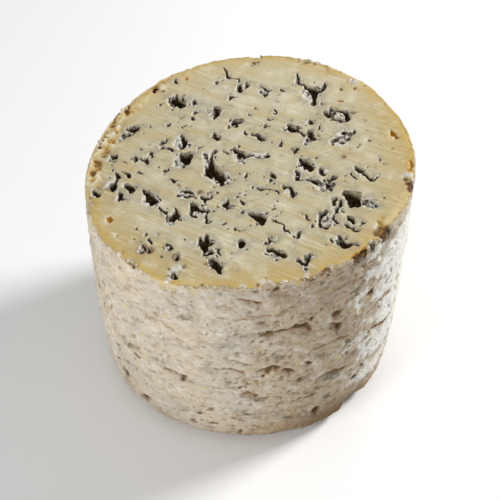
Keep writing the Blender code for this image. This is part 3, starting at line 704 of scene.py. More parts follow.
# Creases and ledges: points of (angle, height), then half height and depth
rindCreases = [
    ([(-92.5, 93.5), (-89, 92), (-86, 91)], 0.7, 0.9), ([(-83, 73.5), (-78, 74.6), (-73, 75.5)], 0.8, 0.9),
    ([(-73, 75.5), (-70, 76.5), (-68, 72)], 1.0, 1.1), ([(-101, 52), (-96, 53), (-91, 51)], 0.5, 0.6),
    ([(-85, 52), (-80, 54), (-78.5, 52)], 0.8, 1.0), ([(-76, 51), (-73.5, 49)], 0.9, 1.0),
    ([(-120, 43.5), (-114, 42.5), (-110, 40)], 0.6, 0.8), ([(-93, 40), (-91.5, 42), (-90, 41.5)], 0.5, 0.7),
    ([(-89, 37), (-86.5, 35)], 0.8, 0.8), ([(-62, 41), (-57, 40.6), (-52, 39)], 0.7, 0.8),
    ([(-40, 53), (-34, 50), (-28, 46)], 0.8, 0.8), ([(-92, 9), (-92.4, 7), (-92, 5)], 0.6, 0.7),
    ([(-128, 70), (-121, 71), (-115, 69)], 0.5, 0.4), ([(-150, 42), (-143, 43), (-139, 41)], 0.6, 0.5),
    ([(-60, 90), (-52, 91), (-47, 89.5)], 0.5, 0.5), ([(-66, 60), (-58, 61), (-52, 59)], 0.5, 0.5),
    ([(-44, 66), (-37, 67), (-30, 65)], 0.6, 0.5), ([(-100, 82), (-94, 81), (-90, 82.5)], 0.5, 0.4),
]

# Pits: angle, height, width, height of the pit, depth
rindPits = [
    (-43, 76.5, 5.4, 4.2, 1.9), (-57.5, 68, 3.8, 5.4, 1.5), (-71, 75, 4.5, 3, 1.2),
    (-62, 16, 4.8, 6.4, 2.3), (-113.5, 40, 2.6, 5.6, 1.6), (-82, 51.5, 4, 2.6, 1.2),
    (-74, 49.5, 3.4, 3, 1.4), (-87, 91.2, 3, 2.2, 1.2), (-46, 26.5, 4.4, 3.6, 1.4),
    (-143.5, 17.5, 4.6, 5.4, 1.5), (-133, 11.5, 4.4, 4, 1.4), (-147, 56, 4, 3.2, 1.2),
    (-74.5, 81.5, 2.2, 2, 0.9), (-31.5, 79, 2.2, 2, 0.8), (-104.5, 67.5, 2.2, 1.4, 0.7),
    (-106.5, 57.2, 1.8, 1.6, 0.9), (-95.5, 53, 1.8, 1.4, 0.8), (-84, 48, 2.6, 2.2, 1),
    (-67.8, 52.5, 2.6, 2.8, 1.1), (-77, 32, 3.2, 1.8, 0.9), (-78, 28, 1.8, 1.4, 0.6),
    (-70.5, 42, 2.2, 3, 0.9), (-42.5, 32.5, 3, 3, 1), (-106, 24, 1.4, 1.2, 0.7),
    (-103, 23.5, 1.8, 1.6, 0.6), (-93.3, 18.5, 1.8, 1.6, 0.8), (-87, 13.5, 2.2, 2, 0.8),
    (-111, 11, 4.2, 2.2, 1), (-80, 12.5, 2.2, 2, 0.7), (-131.5, 22.5, 2.2, 2, 0.8), (-134, 30, 3, 2.2, 0.9),
    (-130.5, 31, 2.2, 3, 0.9), (-138, 25, 2.2, 2, 0.7), (-151, 78, 2.2, 2, 0.7),
    (-142.5, 65.5, 2.2, 1.4, 0.6), (-138, 88, 3, 4, 1), (-132.5, 86.5, 2.2, 2, 0.7),
    (-135.5, 71, 2.2, 3, 0.8), (-129, 17.5, 2, 1.6, 0.6), (-123.5, 18, 2, 1.6, 0.6),
    (-126, 9, 2.2, 1.8, 0.7), (-41, 52.5, 3, 2.6, 1), (-87, 97.6, 3.4, 2.6, 1.5),
    (-80.6, 98, 3.6, 3.8, 1.6), (-83.4, 98.8, 1.4, 1.2, 0.8), (-69.4, 100.4, 1.8, 1.6, 1),
    (-63, 101, 2.2, 1.6, 1), (-76, 99.4, 1.6, 1.2, 0.8),
]

# Greenish and grey patches: angle, height, width, height of the patch
rindPatches = [
    (-83, 73.5, 10, 4), (-57.5, 68, 5, 6), (-84, 33, 7, 3), (-57, 38, 12, 5), (-137, 43, 4, 4),
    (-70.5, 42, 4, 5), (-143.5, 17.5, 7, 7), (-133, 11, 6, 5), (-103, 23.5, 3, 3), (-34, 49, 9, 6),
    (-64, 56, 6, 3), (-50, 84, 7, 3), (-112, 78, 5, 3), (-150, 68, 5, 4), (-146, 34, 6, 5),
    (-152, 50, 4, 6), (-157, 60, 3, 4), (-140, 29, 3, 3), (-149, 22, 4, 4), (-95, 44, 5, 3),
    (-79, 60, 6, 3), (-66, 30, 8, 3), (-58, 24, 6, 3), (-74, 17, 7, 3), (-90, 22, 5, 3), (-52, 55, 6, 4),
    (-20, 60, 9, 8), (-12, 84, 8, 5), (-24, 30, 9, 8), (-10, 44, 7, 6),
]

# Where white bloom lies thick: angle, height, half spread in degrees, half height, how thick
rindBlooms = [
    (-28, 80, 25, 26, 1.0), (-27, 46, 28, 32, 1.0), (-30, 26, 20, 12, 1.0), (-2, 62, 17, 18, 0.7),
    (10, 30, 20, 14, 0.62), (-6, 92, 12, 8, 0.6), (22, 74, 12, 12, 0.55), (34, 44, 26, 20, 0.5),
    (66, 72, 34, 32, 0.42), (112, 36, 40, 34, 0.45), (168, 62, 30, 36, 0.45), (-160, 30, 22, 22, 0.3),
]


def rindColumns():
    # Angles of the columns: closer together on the front half
    front = np.linspace(-180, 0, round(math.pi * drum["radius"] / rind["frontStep"]), endpoint=False)
    back = np.linspace(0, 180, round(math.pi * drum["radius"] / rind["backStep"]), endpoint=False)
    return np.concatenate([front, back])


def strewnMarks():
    # Small pits and creases all round the drum, by a seeded rule
    rng = random.Random(rind["seed"])
    pits = list(rindPits)
    for _ in range(rind["pitCount"]):
        wide = rng.uniform(0.9, 2.0) if rng.random() < 0.85 else rng.uniform(2.2, 3.6)
        place = (rng.uniform(-180, 180), rng.uniform(3, 100))
        pits.append((*place, wide * rng.uniform(1.0, 2.2), wide, wide * rng.uniform(0.2, 0.4)))
    for _ in range(rind["backPits"]):
        wide = 0.9 + 2.1 * rng.random() ** 2
        place = (rng.uniform(25, 195), rng.uniform(4, 98))
        pits.append((*place, wide * rng.uniform(1.0, 1.8), wide, wide * rng.uniform(0.3, 0.5)))
    creases = list(rindCreases)
    for _ in range(rind["creaseCount"]):
        angle, height = rng.uniform(-180, 180), rng.uniform(8, 98)
        half, lift = rng.uniform(1.0, 4.0), rng.uniform(-1.4, 1.4)
        bow = rng.uniform(-1.0, 1.4)
        line = [(angle - half, height - lift), (angle, height + bow), (angle + half, height + lift)]
        creases.append((line, rng.uniform(0.35, 0.8), rng.uniform(0.3, 0.8)))
    return pits, creases


def wallMarks(angle, height):
    # Depth of the pits and creases over the whole wall, how dark they are (for a crease, a painted shadow
    # under its ledge), and how green the wall is
    pits, creases = strewnMarks()
    arc = math.radians(1) * drum["radius"]
    bendAlong = 1.2 * roundNoise(angle, height, 2.6, 2.2, 71.0)
    bendAlong += 0.7 * roundNoise(angle, height, 1.3, 1.1, 83.0)
    bendUp = 1.2 * roundNoise(angle, height, 2.4, 2.0, 91.0)
    bendUp += 0.7 * roundNoise(angle, height, 1.2, 1.1, 97.0)
    deep, dark, green = np.zeros(angle.shape), np.zeros(angle.shape), np.zeros(angle.shape)
    columns = angle[:, 0]
    for pitAngle, pitHeight, wide, tall, depth in pits:
        depth *= 0.5 if pitAngle < -115 else 0.8
        near = np.flatnonzero(angleGap(columns, pitAngle) * arc < wide + 3)
        along = turnFrom(angle[near], pitAngle) * arc + bendAlong[near]
        away = np.hypot(along / (wide / 2), (height[near] - pitHeight + bendUp[near]) / (tall / 2))
        bowl = 1 - smoothStep(away, 0.35, 1.15)
        deep[near] = np.maximum(deep[near], depth * bowl)
        dark[near] = np.maximum(dark[near], np.minimum(1, depth) * (1 - smoothStep(away, 0.2, 1.0)))
    for number, (line, half, depth) in enumerate(creases):
        strength = 1 if number < len(rindCreases) else 0.6
        middle = line[len(line) // 2][0]
        near = np.flatnonzero(angleGap(columns, middle) < 14)
        along = turnFrom(angle[near], middle) * arc + 0.6 * bendAlong[near]
        up = height[near] + 0.7 * bendUp[near]
        away = np.full(up.shape, farOff)
        over = np.zeros(up.shape)
        for (fromAngle, fromHeight), (toAngle, toHeight) in zip(line, line[1:]):
            start = ((fromAngle - middle) * arc, fromHeight, 0.0)
            end = ((toAngle - middle) * arc, toHeight, 0.0)
            gap, _ = reachTo(along, up, start, end)
            share = np.clip((along - start[0]) / (end[0] - start[0]), 0, 1)
            rise = up - fromHeight - share * (toHeight - fromHeight)
            over = np.where(gap < away, rise, over)
            away = np.minimum(away, gap)
        stretch = np.where(over > 0, away / half, away / (half * 2.6))   # steep above, easing out below
        groove = np.exp(-stretch ** 2)
        deep[near] = np.maximum(deep[near], depth * groove)
        # Painted shadow under the ledge of a crease
        dark[near] = np.maximum(dark[near], strength * min(1, depth) * np.exp(-(away / half) ** 2))
    for patchAngle, patchHeight, wide, tall in rindPatches:
        along = turnFrom(angle, patchAngle) * arc + 1.6 * bendAlong
        away = np.hypot(along / (wide / 2), (height - patchHeight + 1.6 * bendUp) / (tall / 2))
        green = np.maximum(green, 1 - smoothStep(away, 0.3, 1.2))
    return deep, dark, green


def bloomOf(angle, height):
    # How thick the white bloom lies on the wall
    found = np.zeros(angle.shape)
    ragged = 0.5 * roundNoise(angle, height, 12, 9, 61.0) + 0.35 * roundNoise(angle, height, 4, 3, 67.0)
    for middle, level, half, rise, thick in rindBlooms:
        away = np.hypot(angleGap(angle, middle) / half, (height - level) / rise) + ragged
        found = np.maximum(found, thick * (1 - smoothStep(away, 0.4, 1.15)))
    return found


def lowRelief(angle, height):
    relief = np.zeros(angle.shape)
    for number, name in enumerate(("broadRelief", "creaseRelief", "lumpRelief")):
        along, rise, reach = rind[name]
        relief += reach * roundNoise(angle, height, along, rise, 5.0 + 11 * number)
    return relief


def rindRings():
    # The wall's rings, from the foot up to the lip: radius, height and what the material reads there
    columns = rindColumns()
    axisX, axisY = drum["axis"]
    turn = np.radians(columns)
    rimHeight = cutPlane(atRim(rimRadius, columns) * np.cos(turn) + axisX,
                         atRim(rimRadius, columns) * np.sin(turn) + axisY)
    top = rimHeight + rind["lipTop"] - chipDepth(columns, 0) + 0.3 * tornShare(columns) + edgeSwell(columns)
    turns = np.linspace(0, math.pi / 2, rind["footRows"], endpoint=False)
    foot = drum["footRound"] * (1 - np.cos(turns))
    rows = round((rimHeight.max() - drum["footRound"]) / rind["rowStep"])
    share = np.linspace(0, 1, rows)
    wall = drum["footRound"] + (top[:, None] - drum["footRound"]) * share
    height = np.concatenate([np.broadcast_to(foot, (len(columns), len(foot))), wall], axis=1)
    angle = np.broadcast_to(columns[:, None], height.shape)
    deep, dark, green = wallMarks(angle, height)
    ease = smoothStep(height, 0, 3)
    relief = np.minimum(lowRelief(angle, height) - rind["sink"] - deep, rind["most"]) * ease
    underRim = rimHeight[:, None] - height
    relief = relief * (0.35 + 0.65 * smoothStep(underRim, 0.2, 3.5))
    drip = underRim + 1.6 * roundNoise(angle, height, 2.2, 2.2, 41.0)
    spill = spillShare(angle + 2.5 * roundNoise(angle, height, 3.0, 3.0, 43.0)) * smoothStep(drip, 3.6, 0.6)
    notch = rind["notchDepth"] * smoothBump(angleGap(angle, rind["notchAt"]) / rind["notchHalf"])
    notch = notch * smoothBump((height - rind["notchHeight"]) / rind["notchHeight"])
    radius = wallRadius(angle, height) + relief * (1 - 0.7 * spill) + 0.2 * spill - notch
    # Shaved where the wall would reach past the solid
    shaved = np.minimum(*(angleGap(angle, place) for place in rind["shaveAt"]))
    radius = radius - rind["shave"] * (1 - smoothStep(shaved, 4, 14))
    chip = chipDepth(angle, 0)
    chip = smoothStep(chip, 0.3, 1.5) * smoothStep(rimHeight[:, None] - chip - height, 3.0, 1.2)
    rings = {"radius": radius, "height": height, "deep": deep, "dark": dark, "green": green,
             "bloom": bloomOf(angle, height),
             # The front right: browner rind, darkened further as painted shade where the wall lies between
             # the two lamps
             "shadedBrownFront": smoothStep(angleGap(angle, -54), 54, 18) * smoothStep(height, 128, 62),
             "spill": spill, "chip": chip, "lip": 1 - smoothStep(underRim, 0.3, 2.0)}
    return columns, rings, rimHeight


def chipDepth(angle, side):
    # How far a chip lowers the rim, side millimetres in from the wall
    lowered = np.zeros(np.broadcast(angle, side).shape)
    for chipAngle, long, wide, deep in rimChips:
        along = angleGap(angle, chipAngle) * math.radians(1) * drum["radius"] / (long / 2)
        ragged = 0.1 * np.sin(0.9 * angle + 1.2 * side) + 0.07 * np.sin(1.7 * angle - 2.3 * side + 1)
        ends = 1 - smoothStep(along + ragged, 0.7, 1.0)
        lowered = np.maximum(lowered, deep * ends * np.clip(1 - side / wide + ragged, 0, 1))
    return lowered


def lipRings(columns, rimHeight, wallTop):
    # The lip: a crest round the paste, then the hidden inner wall. It lies low but for the front right
    thick = atRim(rimThickness, columns)
    crusty = smoothStep(angleGap(columns, -50), 62, 35)
    crumble = (0.3 + 0.4 * crusty) * roundNoise(columns, columns * 0, 1.6, 1.0, 13.0)
    crumble += (0.22 + 0.4 * crusty) * roundNoise(columns, columns * 0, 5, 1, 17.0)
    crumble += 0.3 * crusty * roundNoise(columns, columns * 0, 1.1, 1.0, 29.0)
    sunk = rind["lipSunk"] * (1 - crusty) - 0.9 * tornShare(columns) + 0.45 * spillShare(columns)
    sunk = sunk - 0.3 * smoothStep(angleGap(columns, 95), 45, 25) - edgeSwell(columns)
    # Share of the rind's thickness, height over the rim, and how rough it is there
    profile = [(0.12, -0.25, 0.4), (0.32, 0.0, 1.0), (0.55, 0.08, 1.0), (0.8, 0.05, 1.0), (1.0, -0.03, 0.9),
               (1.25, -0.4, 0.5)]
    rings = []
    for share, lift, rough in profile:
        inset = thick * share
        chip = chipDepth(columns, inset)
        height = rimHeight + lift + rough * crumble - sunk - chip - 0.5 * smoothStep(chip, 0.2, 1.0)
        rings.append((wallTop - inset, np.minimum(height, rimHeight.max() - 0.1)))
    rings.append((wallTop - thick * 1.25 - 0.1, rimHeight - rind["lipDepth"]))
    return rings


def bottomRings(columns, radius):
    # The underside: flat where it stands, with shallow wrinkles between the places that touch
    rings = []
    for share in np.linspace(0.12, 1, rind["bottomRows"], endpoint=False):
        ring = radius * share
        rough = roundNoise(columns, columns * 0 + share * 30, 4.0 / share, 2.0, 3.0)
        rings.append((ring, np.maximum(0, 0.35 * rough)))
    return rings


def buildRind(material):
    columns, rings, rimHeight = rindRings()
    outer = [(rings["radius"][:, k], rings["height"][:, k]) for k in range(rings["radius"].shape[1])]
    below = bottomRings(columns, outer[0][0])
    lip = lipRings(columns, rimHeight, outer[-1][0])
    every = below + outer + lip
    turn = np.radians(columns)
    points = np.concatenate([np.stack([radius * np.cos(turn) + drum["axis"][0],
                                       radius * np.sin(turn) + drum["axis"][1],
                                       np.broadcast_to(height, turn.shape)], axis=1)
                             for radius, height in every])
    count = len(columns)
    row = np.arange(len(every) - 1)[:, None] * count
    column = np.arange(count)[None, :]
    after = (column + 1) % count
    faces = np.stack([row + column, row + after, row + after + count, row + column + count], axis=-1)
    mesh = meshFrom("rind", points, faces.reshape(-1, 4))
    closeHoles(mesh)
    for name in ("deep", "dark", "green", "lip", "bloom", "shadedBrownFront", "spill", "chip"):
        values = np.full((len(every), count), 1.0 if name == "lip" else 0.0)
        if name in ("spill", "chip"):
            values[len(below) + len(outer):] = rings[name][:, -1]
        values[:len(below)] = 0
        values[len(below):len(below) + len(outer)] = rings[name].T
        setAttribute(mesh, name, values)
    made = placed("rind", mesh)
    dress(made, rindReliefTree(), {**rind, "Material": material, "Seed": 3.0})
    mesh = plainMesh(made, "rind")
    mesh.shade_smooth()
    print("rind:", len(mesh.polygons), "faces")
    return made


def dress(made, tree, values):
    # Puts a node tree on an object. Each input is set by the identifier of its socket
    modifier = made.modifiers.new(tree.name, "NODES")
    modifier.node_group = tree
    for item in tree.interface.items_tree:
        if item.item_type == "SOCKET" and item.in_out == "INPUT" and item.name in values:
            modifier[item.identifier] = values[item.name]


def newTree(name, *sizes, whole=()):
    # A tree with an input for each of its sizes and whole numbers, and for its material
    tree = bpy.data.node_groups.new(name, "GeometryNodeTree")
    sockets = [("Geometry", "Geometry"), *((size, "Float") for size in sizes),
               *((number, "Int") for number in whole), ("Material", "Material")]
    for label, kind in sockets:
        tree.interface.new_socket(label, in_out="INPUT", socket_type="NodeSocket" + kind)
    tree.interface.new_socket("Geometry", in_out="OUTPUT", socket_type="NodeSocketGeometry")
    return tree, tree.nodes.new("NodeGroupInput").outputs


def add(tree, kind, *inputs, output=0, **settings):
    # A node with its inputs set or linked in order (None leaves one as it is), and one of its outputs
    made = tree.nodes.new(kind)
    for name, value in settings.items():
        setattr(made, name, value)
    sockets = [socket for socket in made.inputs if socket.enabled]
    for socket, value in zip(sockets, inputs):
        feed(tree, socket, value)
    if isinstance(output, str):
        return made.outputs[output]
    return [socket for socket in made.outputs if socket.enabled][output]


def feed(tree, socket, value):
    if isinstance(value, bpy.types.NodeSocket):
        tree.links.new(value, socket)
    elif value is not None:
        socket.default_value = value


def maths(tree, operation, first, second):
    return add(tree, "ShaderNodeMath", first, second, operation=operation)


def vectors(tree, operation, first, second):
    return add(tree, "ShaderNodeVectorMath", first, second, operation=operation)


def scaled(tree, vector, factor):
    made = vectors(tree, "SCALE", vector, None)
    feed(tree, made.node.inputs["Scale"], factor)
    return made


def pushed(tree, geometry, offset):
    moved = add(tree, "GeometryNodeSetPosition", geometry)
    feed(tree, moved.node.inputs["Offset"], offset)
    return moved


def pointPlace(tree):
    # Each point's place in millimetres
    return scaled(tree, add(tree, "GeometryNodeInputPosition"), 1 / mm)


def storeValue(tree, geometry, name, value):
    # Leaves a value at each point, for the material
    return add(tree, "GeometryNodeStoreNamedAttribute", geometry, None, name, value,
               data_type="FLOAT", domain="POINT")


def readValue(tree, name):
    return add(tree, "GeometryNodeInputNamedAttribute", name, data_type="FLOAT")


def scaledNoise(tree, place, scale, detail, seed=0.0, roughness=0.5, output="Fac"):
    made = tree.nodes.new("ShaderNodeTexNoise")
    made.noise_dimensions = "4D"
    feed(tree, made.inputs["Vector"], place)
    feed(tree, made.inputs["W"], seed)
    feed(tree, made.inputs["Scale"], scale)
    feed(tree, made.inputs["Detail"], detail)
    feed(tree, made.inputs["Roughness"], roughness)
    return made.outputs[output]


def finishTree(tree, geometry, material):
    # Every tree ends in Realize Instances and Set Material
    real = add(tree, "GeometryNodeRealizeInstances", geometry)
    done = add(tree, "GeometryNodeSetMaterial", real)
    feed(tree, done.node.inputs["Material"], material)
    tree.nodes.new("NodeGroupOutput")
    feed(tree, tree.nodes["Group Output"].inputs["Geometry"], done)
    return tree


def rindReliefTree():
    # Fine relief of the rind: streaks, ragged crevices and crumbly grain, kept as an attribute too
    tree, size = newTree("rindRelief", "Streak length", "Streak rise", "Streak depth", "Crevice length",
                         "Crevice rise", "Crevice depth", "Grain size", "Grain depth", "Seed")
    place = pointPlace(tree)

    def drawn(name, detail, seed):
        # Noise drawn out along the wall
        long, rise = size[name + " length"], size[name + " rise"]
        stretch = add(tree, "ShaderNodeCombineXYZ", long, long, rise)
        return scaledNoise(tree, vectors(tree, "DIVIDE", place, stretch), 1.0, detail, seed)

    streak = drawn("Streak", 1.0, size["Seed"])
    streak = maths(tree, "MULTIPLY", maths(tree, "SUBTRACT", streak, 0.55), size["Streak depth"])
    crevice = drawn("Crevice", 1.5, 7.0)
    crevice = add(tree, "ShaderNodeMapRange", crevice, 0.57, 0.76, 0.0, 1.0, interpolation_type="SMOOTHSTEP")
    crevice = maths(tree, "MULTIPLY", crevice, size["Crevice depth"])
    grain = scaledNoise(tree, place, maths(tree, "DIVIDE", 1.0, size["Grain size"]), 0.5, 4.0)
    grain = maths(tree, "MULTIPLY", maths(tree, "SUBTRACT", grain, 0.55), size["Grain depth"])
    relief = maths(tree, "SUBTRACT", maths(tree, "ADD", streak, grain), crevice)
    up = add(tree, "ShaderNodeSeparateXYZ", place, output=2)
    ease = add(tree, "ShaderNodeMapRange", up, 0.2, 3.0, 0.0, 1.0)
    onLip = add(tree, "ShaderNodeMapRange", readValue(tree, "lip"), 0.0, 1.0, 1.0, 0.7)
    relief = maths(tree, "MULTIPLY", relief, maths(tree, "MULTIPLY", ease, onLip))
    push = scaled(tree, add(tree, "GeometryNodeInputNormal"), maths(tree, "MULTIPLY", relief, mm))
    wall = storeValue(tree, size["Geometry"], "relief", relief)
    return finishTree(tree, pushed(tree, wall, push), size["Material"])


def pasteReliefTree():
    # The wire's drag over the cut face: long shallow streaks, and a fine curd grain
    tree, size = newTree("pasteRelief", "Streak length", "Streak width", "Streak depth", "Streak turn",
                         "Grain size", "Grain depth")
    place = pointPlace(tree)
    long = size["Streak length"]
    stretch = add(tree, "ShaderNodeCombineXYZ", long, size["Streak width"], long)
    streak = vectors(tree, "DIVIDE", turned(tree, place, size["Streak turn"]), stretch)
    streak = scaledNoise(tree, streak, 1.0, 2.0, 2.0)
    streak = maths(tree, "MULTIPLY", maths(tree, "SUBTRACT", streak, 0.5), size["Streak depth"])
    outside = add(tree, "ShaderNodeMapRange", readValue(tree, "depth"), 0.1, 0.5, 1.0, 0.0)
    fine = maths(tree, "DIVIDE", 1.0, size["Grain size"])
    grain = scaledNoise(tree, place, fine, 2.0, 9.0)
    grain = maths(tree, "MULTIPLY", maths(tree, "SUBTRACT", grain, 0.5), size["Grain depth"])
    relief = maths(tree, "ADD", maths(tree, "MULTIPLY", streak, outside), grain)
    push = scaled(tree, add(tree, "GeometryNodeInputNormal"), maths(tree, "MULTIPLY", relief, mm))
    return finishTree(tree, pushed(tree, size["Geometry"], push), size["Material"])


# Crumbs on a square millimetre, their least and greatest radius in millimetres, and how rough they are
crumbs = {
    "Density": 0.6, "Least": 0.25, "Most": 1.2, "Rough": 1.3, "Seed": 8,
}

# Where crust crumbs lie on the rim: angle, half spread in degrees, how thick they lie
crumbPlaces = [
    (-78, 6, 1.0), (-66, 7, 1.0), (-58, 5, 0.8), (-48, 5, 0.7), (-43, 3, 0.9), (-34, 3, 0.5), (-12, 2, 0.9),
    (-91, 3, 1.0), (-104, 10, 0.5), (-118, 4, 0.4), (-133, 2.5, 0.9), (-125, 20, 0.25), (-160, 16, 0.35),
    (86, 3, 1.0), (64, 12, 0.6), (40, 16, 0.15), (20, 12, 0.12), (150, 20, 0.3),
]


def crumbTree():
    # Crumbs strewn over the faces whose crust value is high, turned and sized at random, then roughened
    tree, size = newTree("crumbs", "Density", "Least", "Most", "Rough", whole=("Seed",))

    def chance(seed, low=None, high=None):
        # A random number for each crumb, or a random vector between two corners
        kind = "FLOAT_VECTOR" if low else "FLOAT"
        return add(tree, "FunctionNodeRandomValue", low, high, None, seed, data_type=kind)

    density = maths(tree, "DIVIDE", size["Density"], mm * mm)
    density = maths(tree, "MULTIPLY", readValue(tree, "crust"), density)
    strewn = tree.nodes.new("GeometryNodeDistributePointsOnFaces")
    feed(tree, strewn.inputs["Mesh"], size["Geometry"])
    feed(tree, strewn.inputs["Density"], density)
    feed(tree, strewn.inputs["Seed"], size["Seed"])
    points = storeValue(tree, strewn.outputs["Points"], "tone", chance(31))
    ball = add(tree, "GeometryNodeMeshIcoSphere", mm, 2)
    turn = chance(5, (0, 0, 0), (6.28, 6.28, 6.28))
    large = maths(tree, "POWER", chance(17), 2.4)    # most crumbs are small
    large = add(tree, "ShaderNodeMapRange", large, 0.0, 1.0, size["Least"], size["Most"])
    flat = chance(19, (0.7, 0.7, 0.45), (1.5, 1.2, 0.9))
    copies = tree.nodes.new("GeometryNodeInstanceOnPoints")
    feed(tree, copies.inputs["Points"], points)
    feed(tree, copies.inputs["Instance"], ball)
    feed(tree, copies.inputs["Rotation"], turn)
    feed(tree, copies.inputs["Scale"], scaled(tree, flat, large))
    real = add(tree, "GeometryNodeRealizeInstances", copies.outputs[0])
    place = pointPlace(tree)
    wave = vectors(tree, "SUBTRACT", scaledNoise(tree, place, 1.7, 2.0, 3.0, output="Color"), (0.5, 0.5, 0.5))
    wave = scaled(tree, wave, maths(tree, "MULTIPLY", size["Rough"], 1.6 * mm))
    return finishTree(tree, pushed(tree, real, wave), size["Material"])


def buildCrumbs(rindObject, material):
    # The rim band of the rind carries the crumbs; only they stay in the new mesh
    mesh = rindObject.data.copy()
    place = pointsOf(mesh)
    x, y = place[:, 0] - drum["axis"][0], place[:, 1] - drum["axis"][1]
    angle = np.degrees(np.arctan2(y, x))
    inset = atRim(rimRadius, angle) - np.hypot(x, y)
    over = place[:, 2] - cutPlane(place[:, 0], place[:, 1])
    crust = np.zeros(len(angle))
    for middle, half, thick in crumbPlaces:
        crust = np.maximum(crust, thick * (1 - smoothStep(angleGap(angle, middle), half * 0.4, half)))
    # Where the drum is widest they keep half a millimetre further in, inside the solid
    keepIn = 0.5 * (1 - smoothStep(angleGap(2 * angle, 180) / 2, 12, 22))
    keepIn = keepIn + 0.5 * (1 - smoothStep(angleGap(2 * angle, 0) / 2, 10, 18))
    crust *= smoothStep(over, -1.6, -0.5) * (1 - smoothStep(inset, 1.2, 2.0))
    crust *= smoothStep(inset, 0.1 + keepIn, 0.6 + keepIn)
    setAttribute(mesh, "crust", crust)
    made = placed("crumbs", mesh)
    dress(made, crumbTree(), {**crumbs, "Material": material})
    mesh = plainMesh(made, "crumbs")
    mesh.shade_smooth()
    print("crumbs:", len(mesh.polygons), "faces")
    return made


def tone(red, green, blue):
    # A colour as it is seen, in steps of 255, for a shader
    def linear(value):
        share = value / 255
        return share / 12.92 if share <= 0.04045 else ((share + 0.055) / 1.055) ** 2.4
    return (linear(red), linear(green), linear(blue), 1.0)


def newMaterial(name):
    material = bpy.data.materials.new(name)
    material.use_nodes = True
    tree = material.node_tree
    tree.nodes.clear()
    shader = tree.nodes.new("ShaderNodeBsdfPrincipled")
    output = tree.nodes.new("ShaderNodeOutputMaterial")
    tree.links.new(shader.outputs["BSDF"], output.inputs["Surface"])
    return material, tree, shader


def turned(tree, place, angle):
    # The pattern that reads this place lies turned clockwise, seen from above
    made = tree.nodes.new("ShaderNodeVectorRotate")
    made.rotation_type = "Z_AXIS"
    feed(tree, made.inputs["Vector"], place)
    feed(tree, made.inputs["Angle"], angle)
    return made.outputs["Vector"]


def objectPlace(tree, size=(1, 1, 1), turn=0.0):
    # Object coordinates, in pattern lengths of these sizes in millimetres, turned about the upright axis
    place = add(tree, "ShaderNodeTexCoord", output="Object")
    if turn:
        place = turned(tree, place, turn)
    return vectors(tree, "DIVIDE", place, tuple(value * mm for value in size))


def pattern(tree, size, detail=3.0, roughness=0.55, seed=0.0, turn=0.0):
    size = size if isinstance(size, tuple) else (size,) * 3
    return scaledNoise(tree, objectPlace(tree, size, turn), 1.0, detail, seed, roughness)


def spots(tree, size, bend):
    # Distance from the middles of scattered spots, with bent outlines
    place = objectPlace(tree, (size,) * 3)
    place = vectors(tree, "ADD", place, scaledNoise(tree, place, bend, 2.0, output="Color"))
    made = tree.nodes.new("ShaderNodeTexVoronoi")
    feed(tree, made.inputs["Vector"], place)
    feed(tree, made.inputs["Scale"], 1.0)
    return made.outputs["Distance"]


def between(tree, value, low, high, start=0.0, end=1.0):
    # Eases from start to end as the value goes from low to high
    return add(tree, "ShaderNodeMapRange", value, low, high, start, end, interpolation_type="SMOOTHSTEP")


def mixed(tree, share, first, second):
    return add(tree, "ShaderNodeMix", share, first, second, data_type="RGBA")


def attributes(tree, *names):
    # What the builders left on the mesh, one value at each point
    return [add(tree, "ShaderNodeAttribute", attribute_name=name, output="Fac") for name in names]


def product(tree, *values):
    found = values[0]
    for value in values[1:]:
        found = maths(tree, "MULTIPLY", found, value)
    return found


def plus(tree, first, second, times=1.0):
    return maths(tree, "ADD", first, maths(tree, "MULTIPLY", second, times))


def laid(tree, colour, over, *shares):
    # One colour laid over another by the product of these shares
    return mixed(tree, product(tree, *shares), colour, over)


def bump(tree, height, distance, strength, under=None):
    made = tree.nodes.new("ShaderNodeBump")
    made.inputs["Distance"].default_value = distance * mm
    made.inputs["Strength"].default_value = strength
    feed(tree, made.inputs["Height"], height)
    feed(tree, made.inputs["Normal"], under)
    return made.outputs["Normal"]


pasteLook = {
    "cream": tone(205, 196, 166), "gold": tone(199, 175, 119), "pale": tone(230, 224, 200),
    "haze": tone(146, 143, 128), "white": tone(220, 217, 206), "mould": tone(150, 146, 134),
    "slate": tone(102, 86, 66), "dark": tone(60, 44, 28), "brown": tone(120, 82, 42),
    "ochre": tone(200, 156, 76), "drag": tone(186, 164, 112), "honey": tone(212, 190, 138),
    "butter": tone(222, 204, 158), "amber": tone(184, 132, 40), "rim": tone(207, 176, 98),
    "gilt": tone(203, 168, 84), "crust": tone(68, 45, 26),
    "roughness": 0.62, "subsurface": 0.1, "subsurfaceRadius": (1.0, 0.7, 0.35), "subsurfaceScale": 1.5,
}


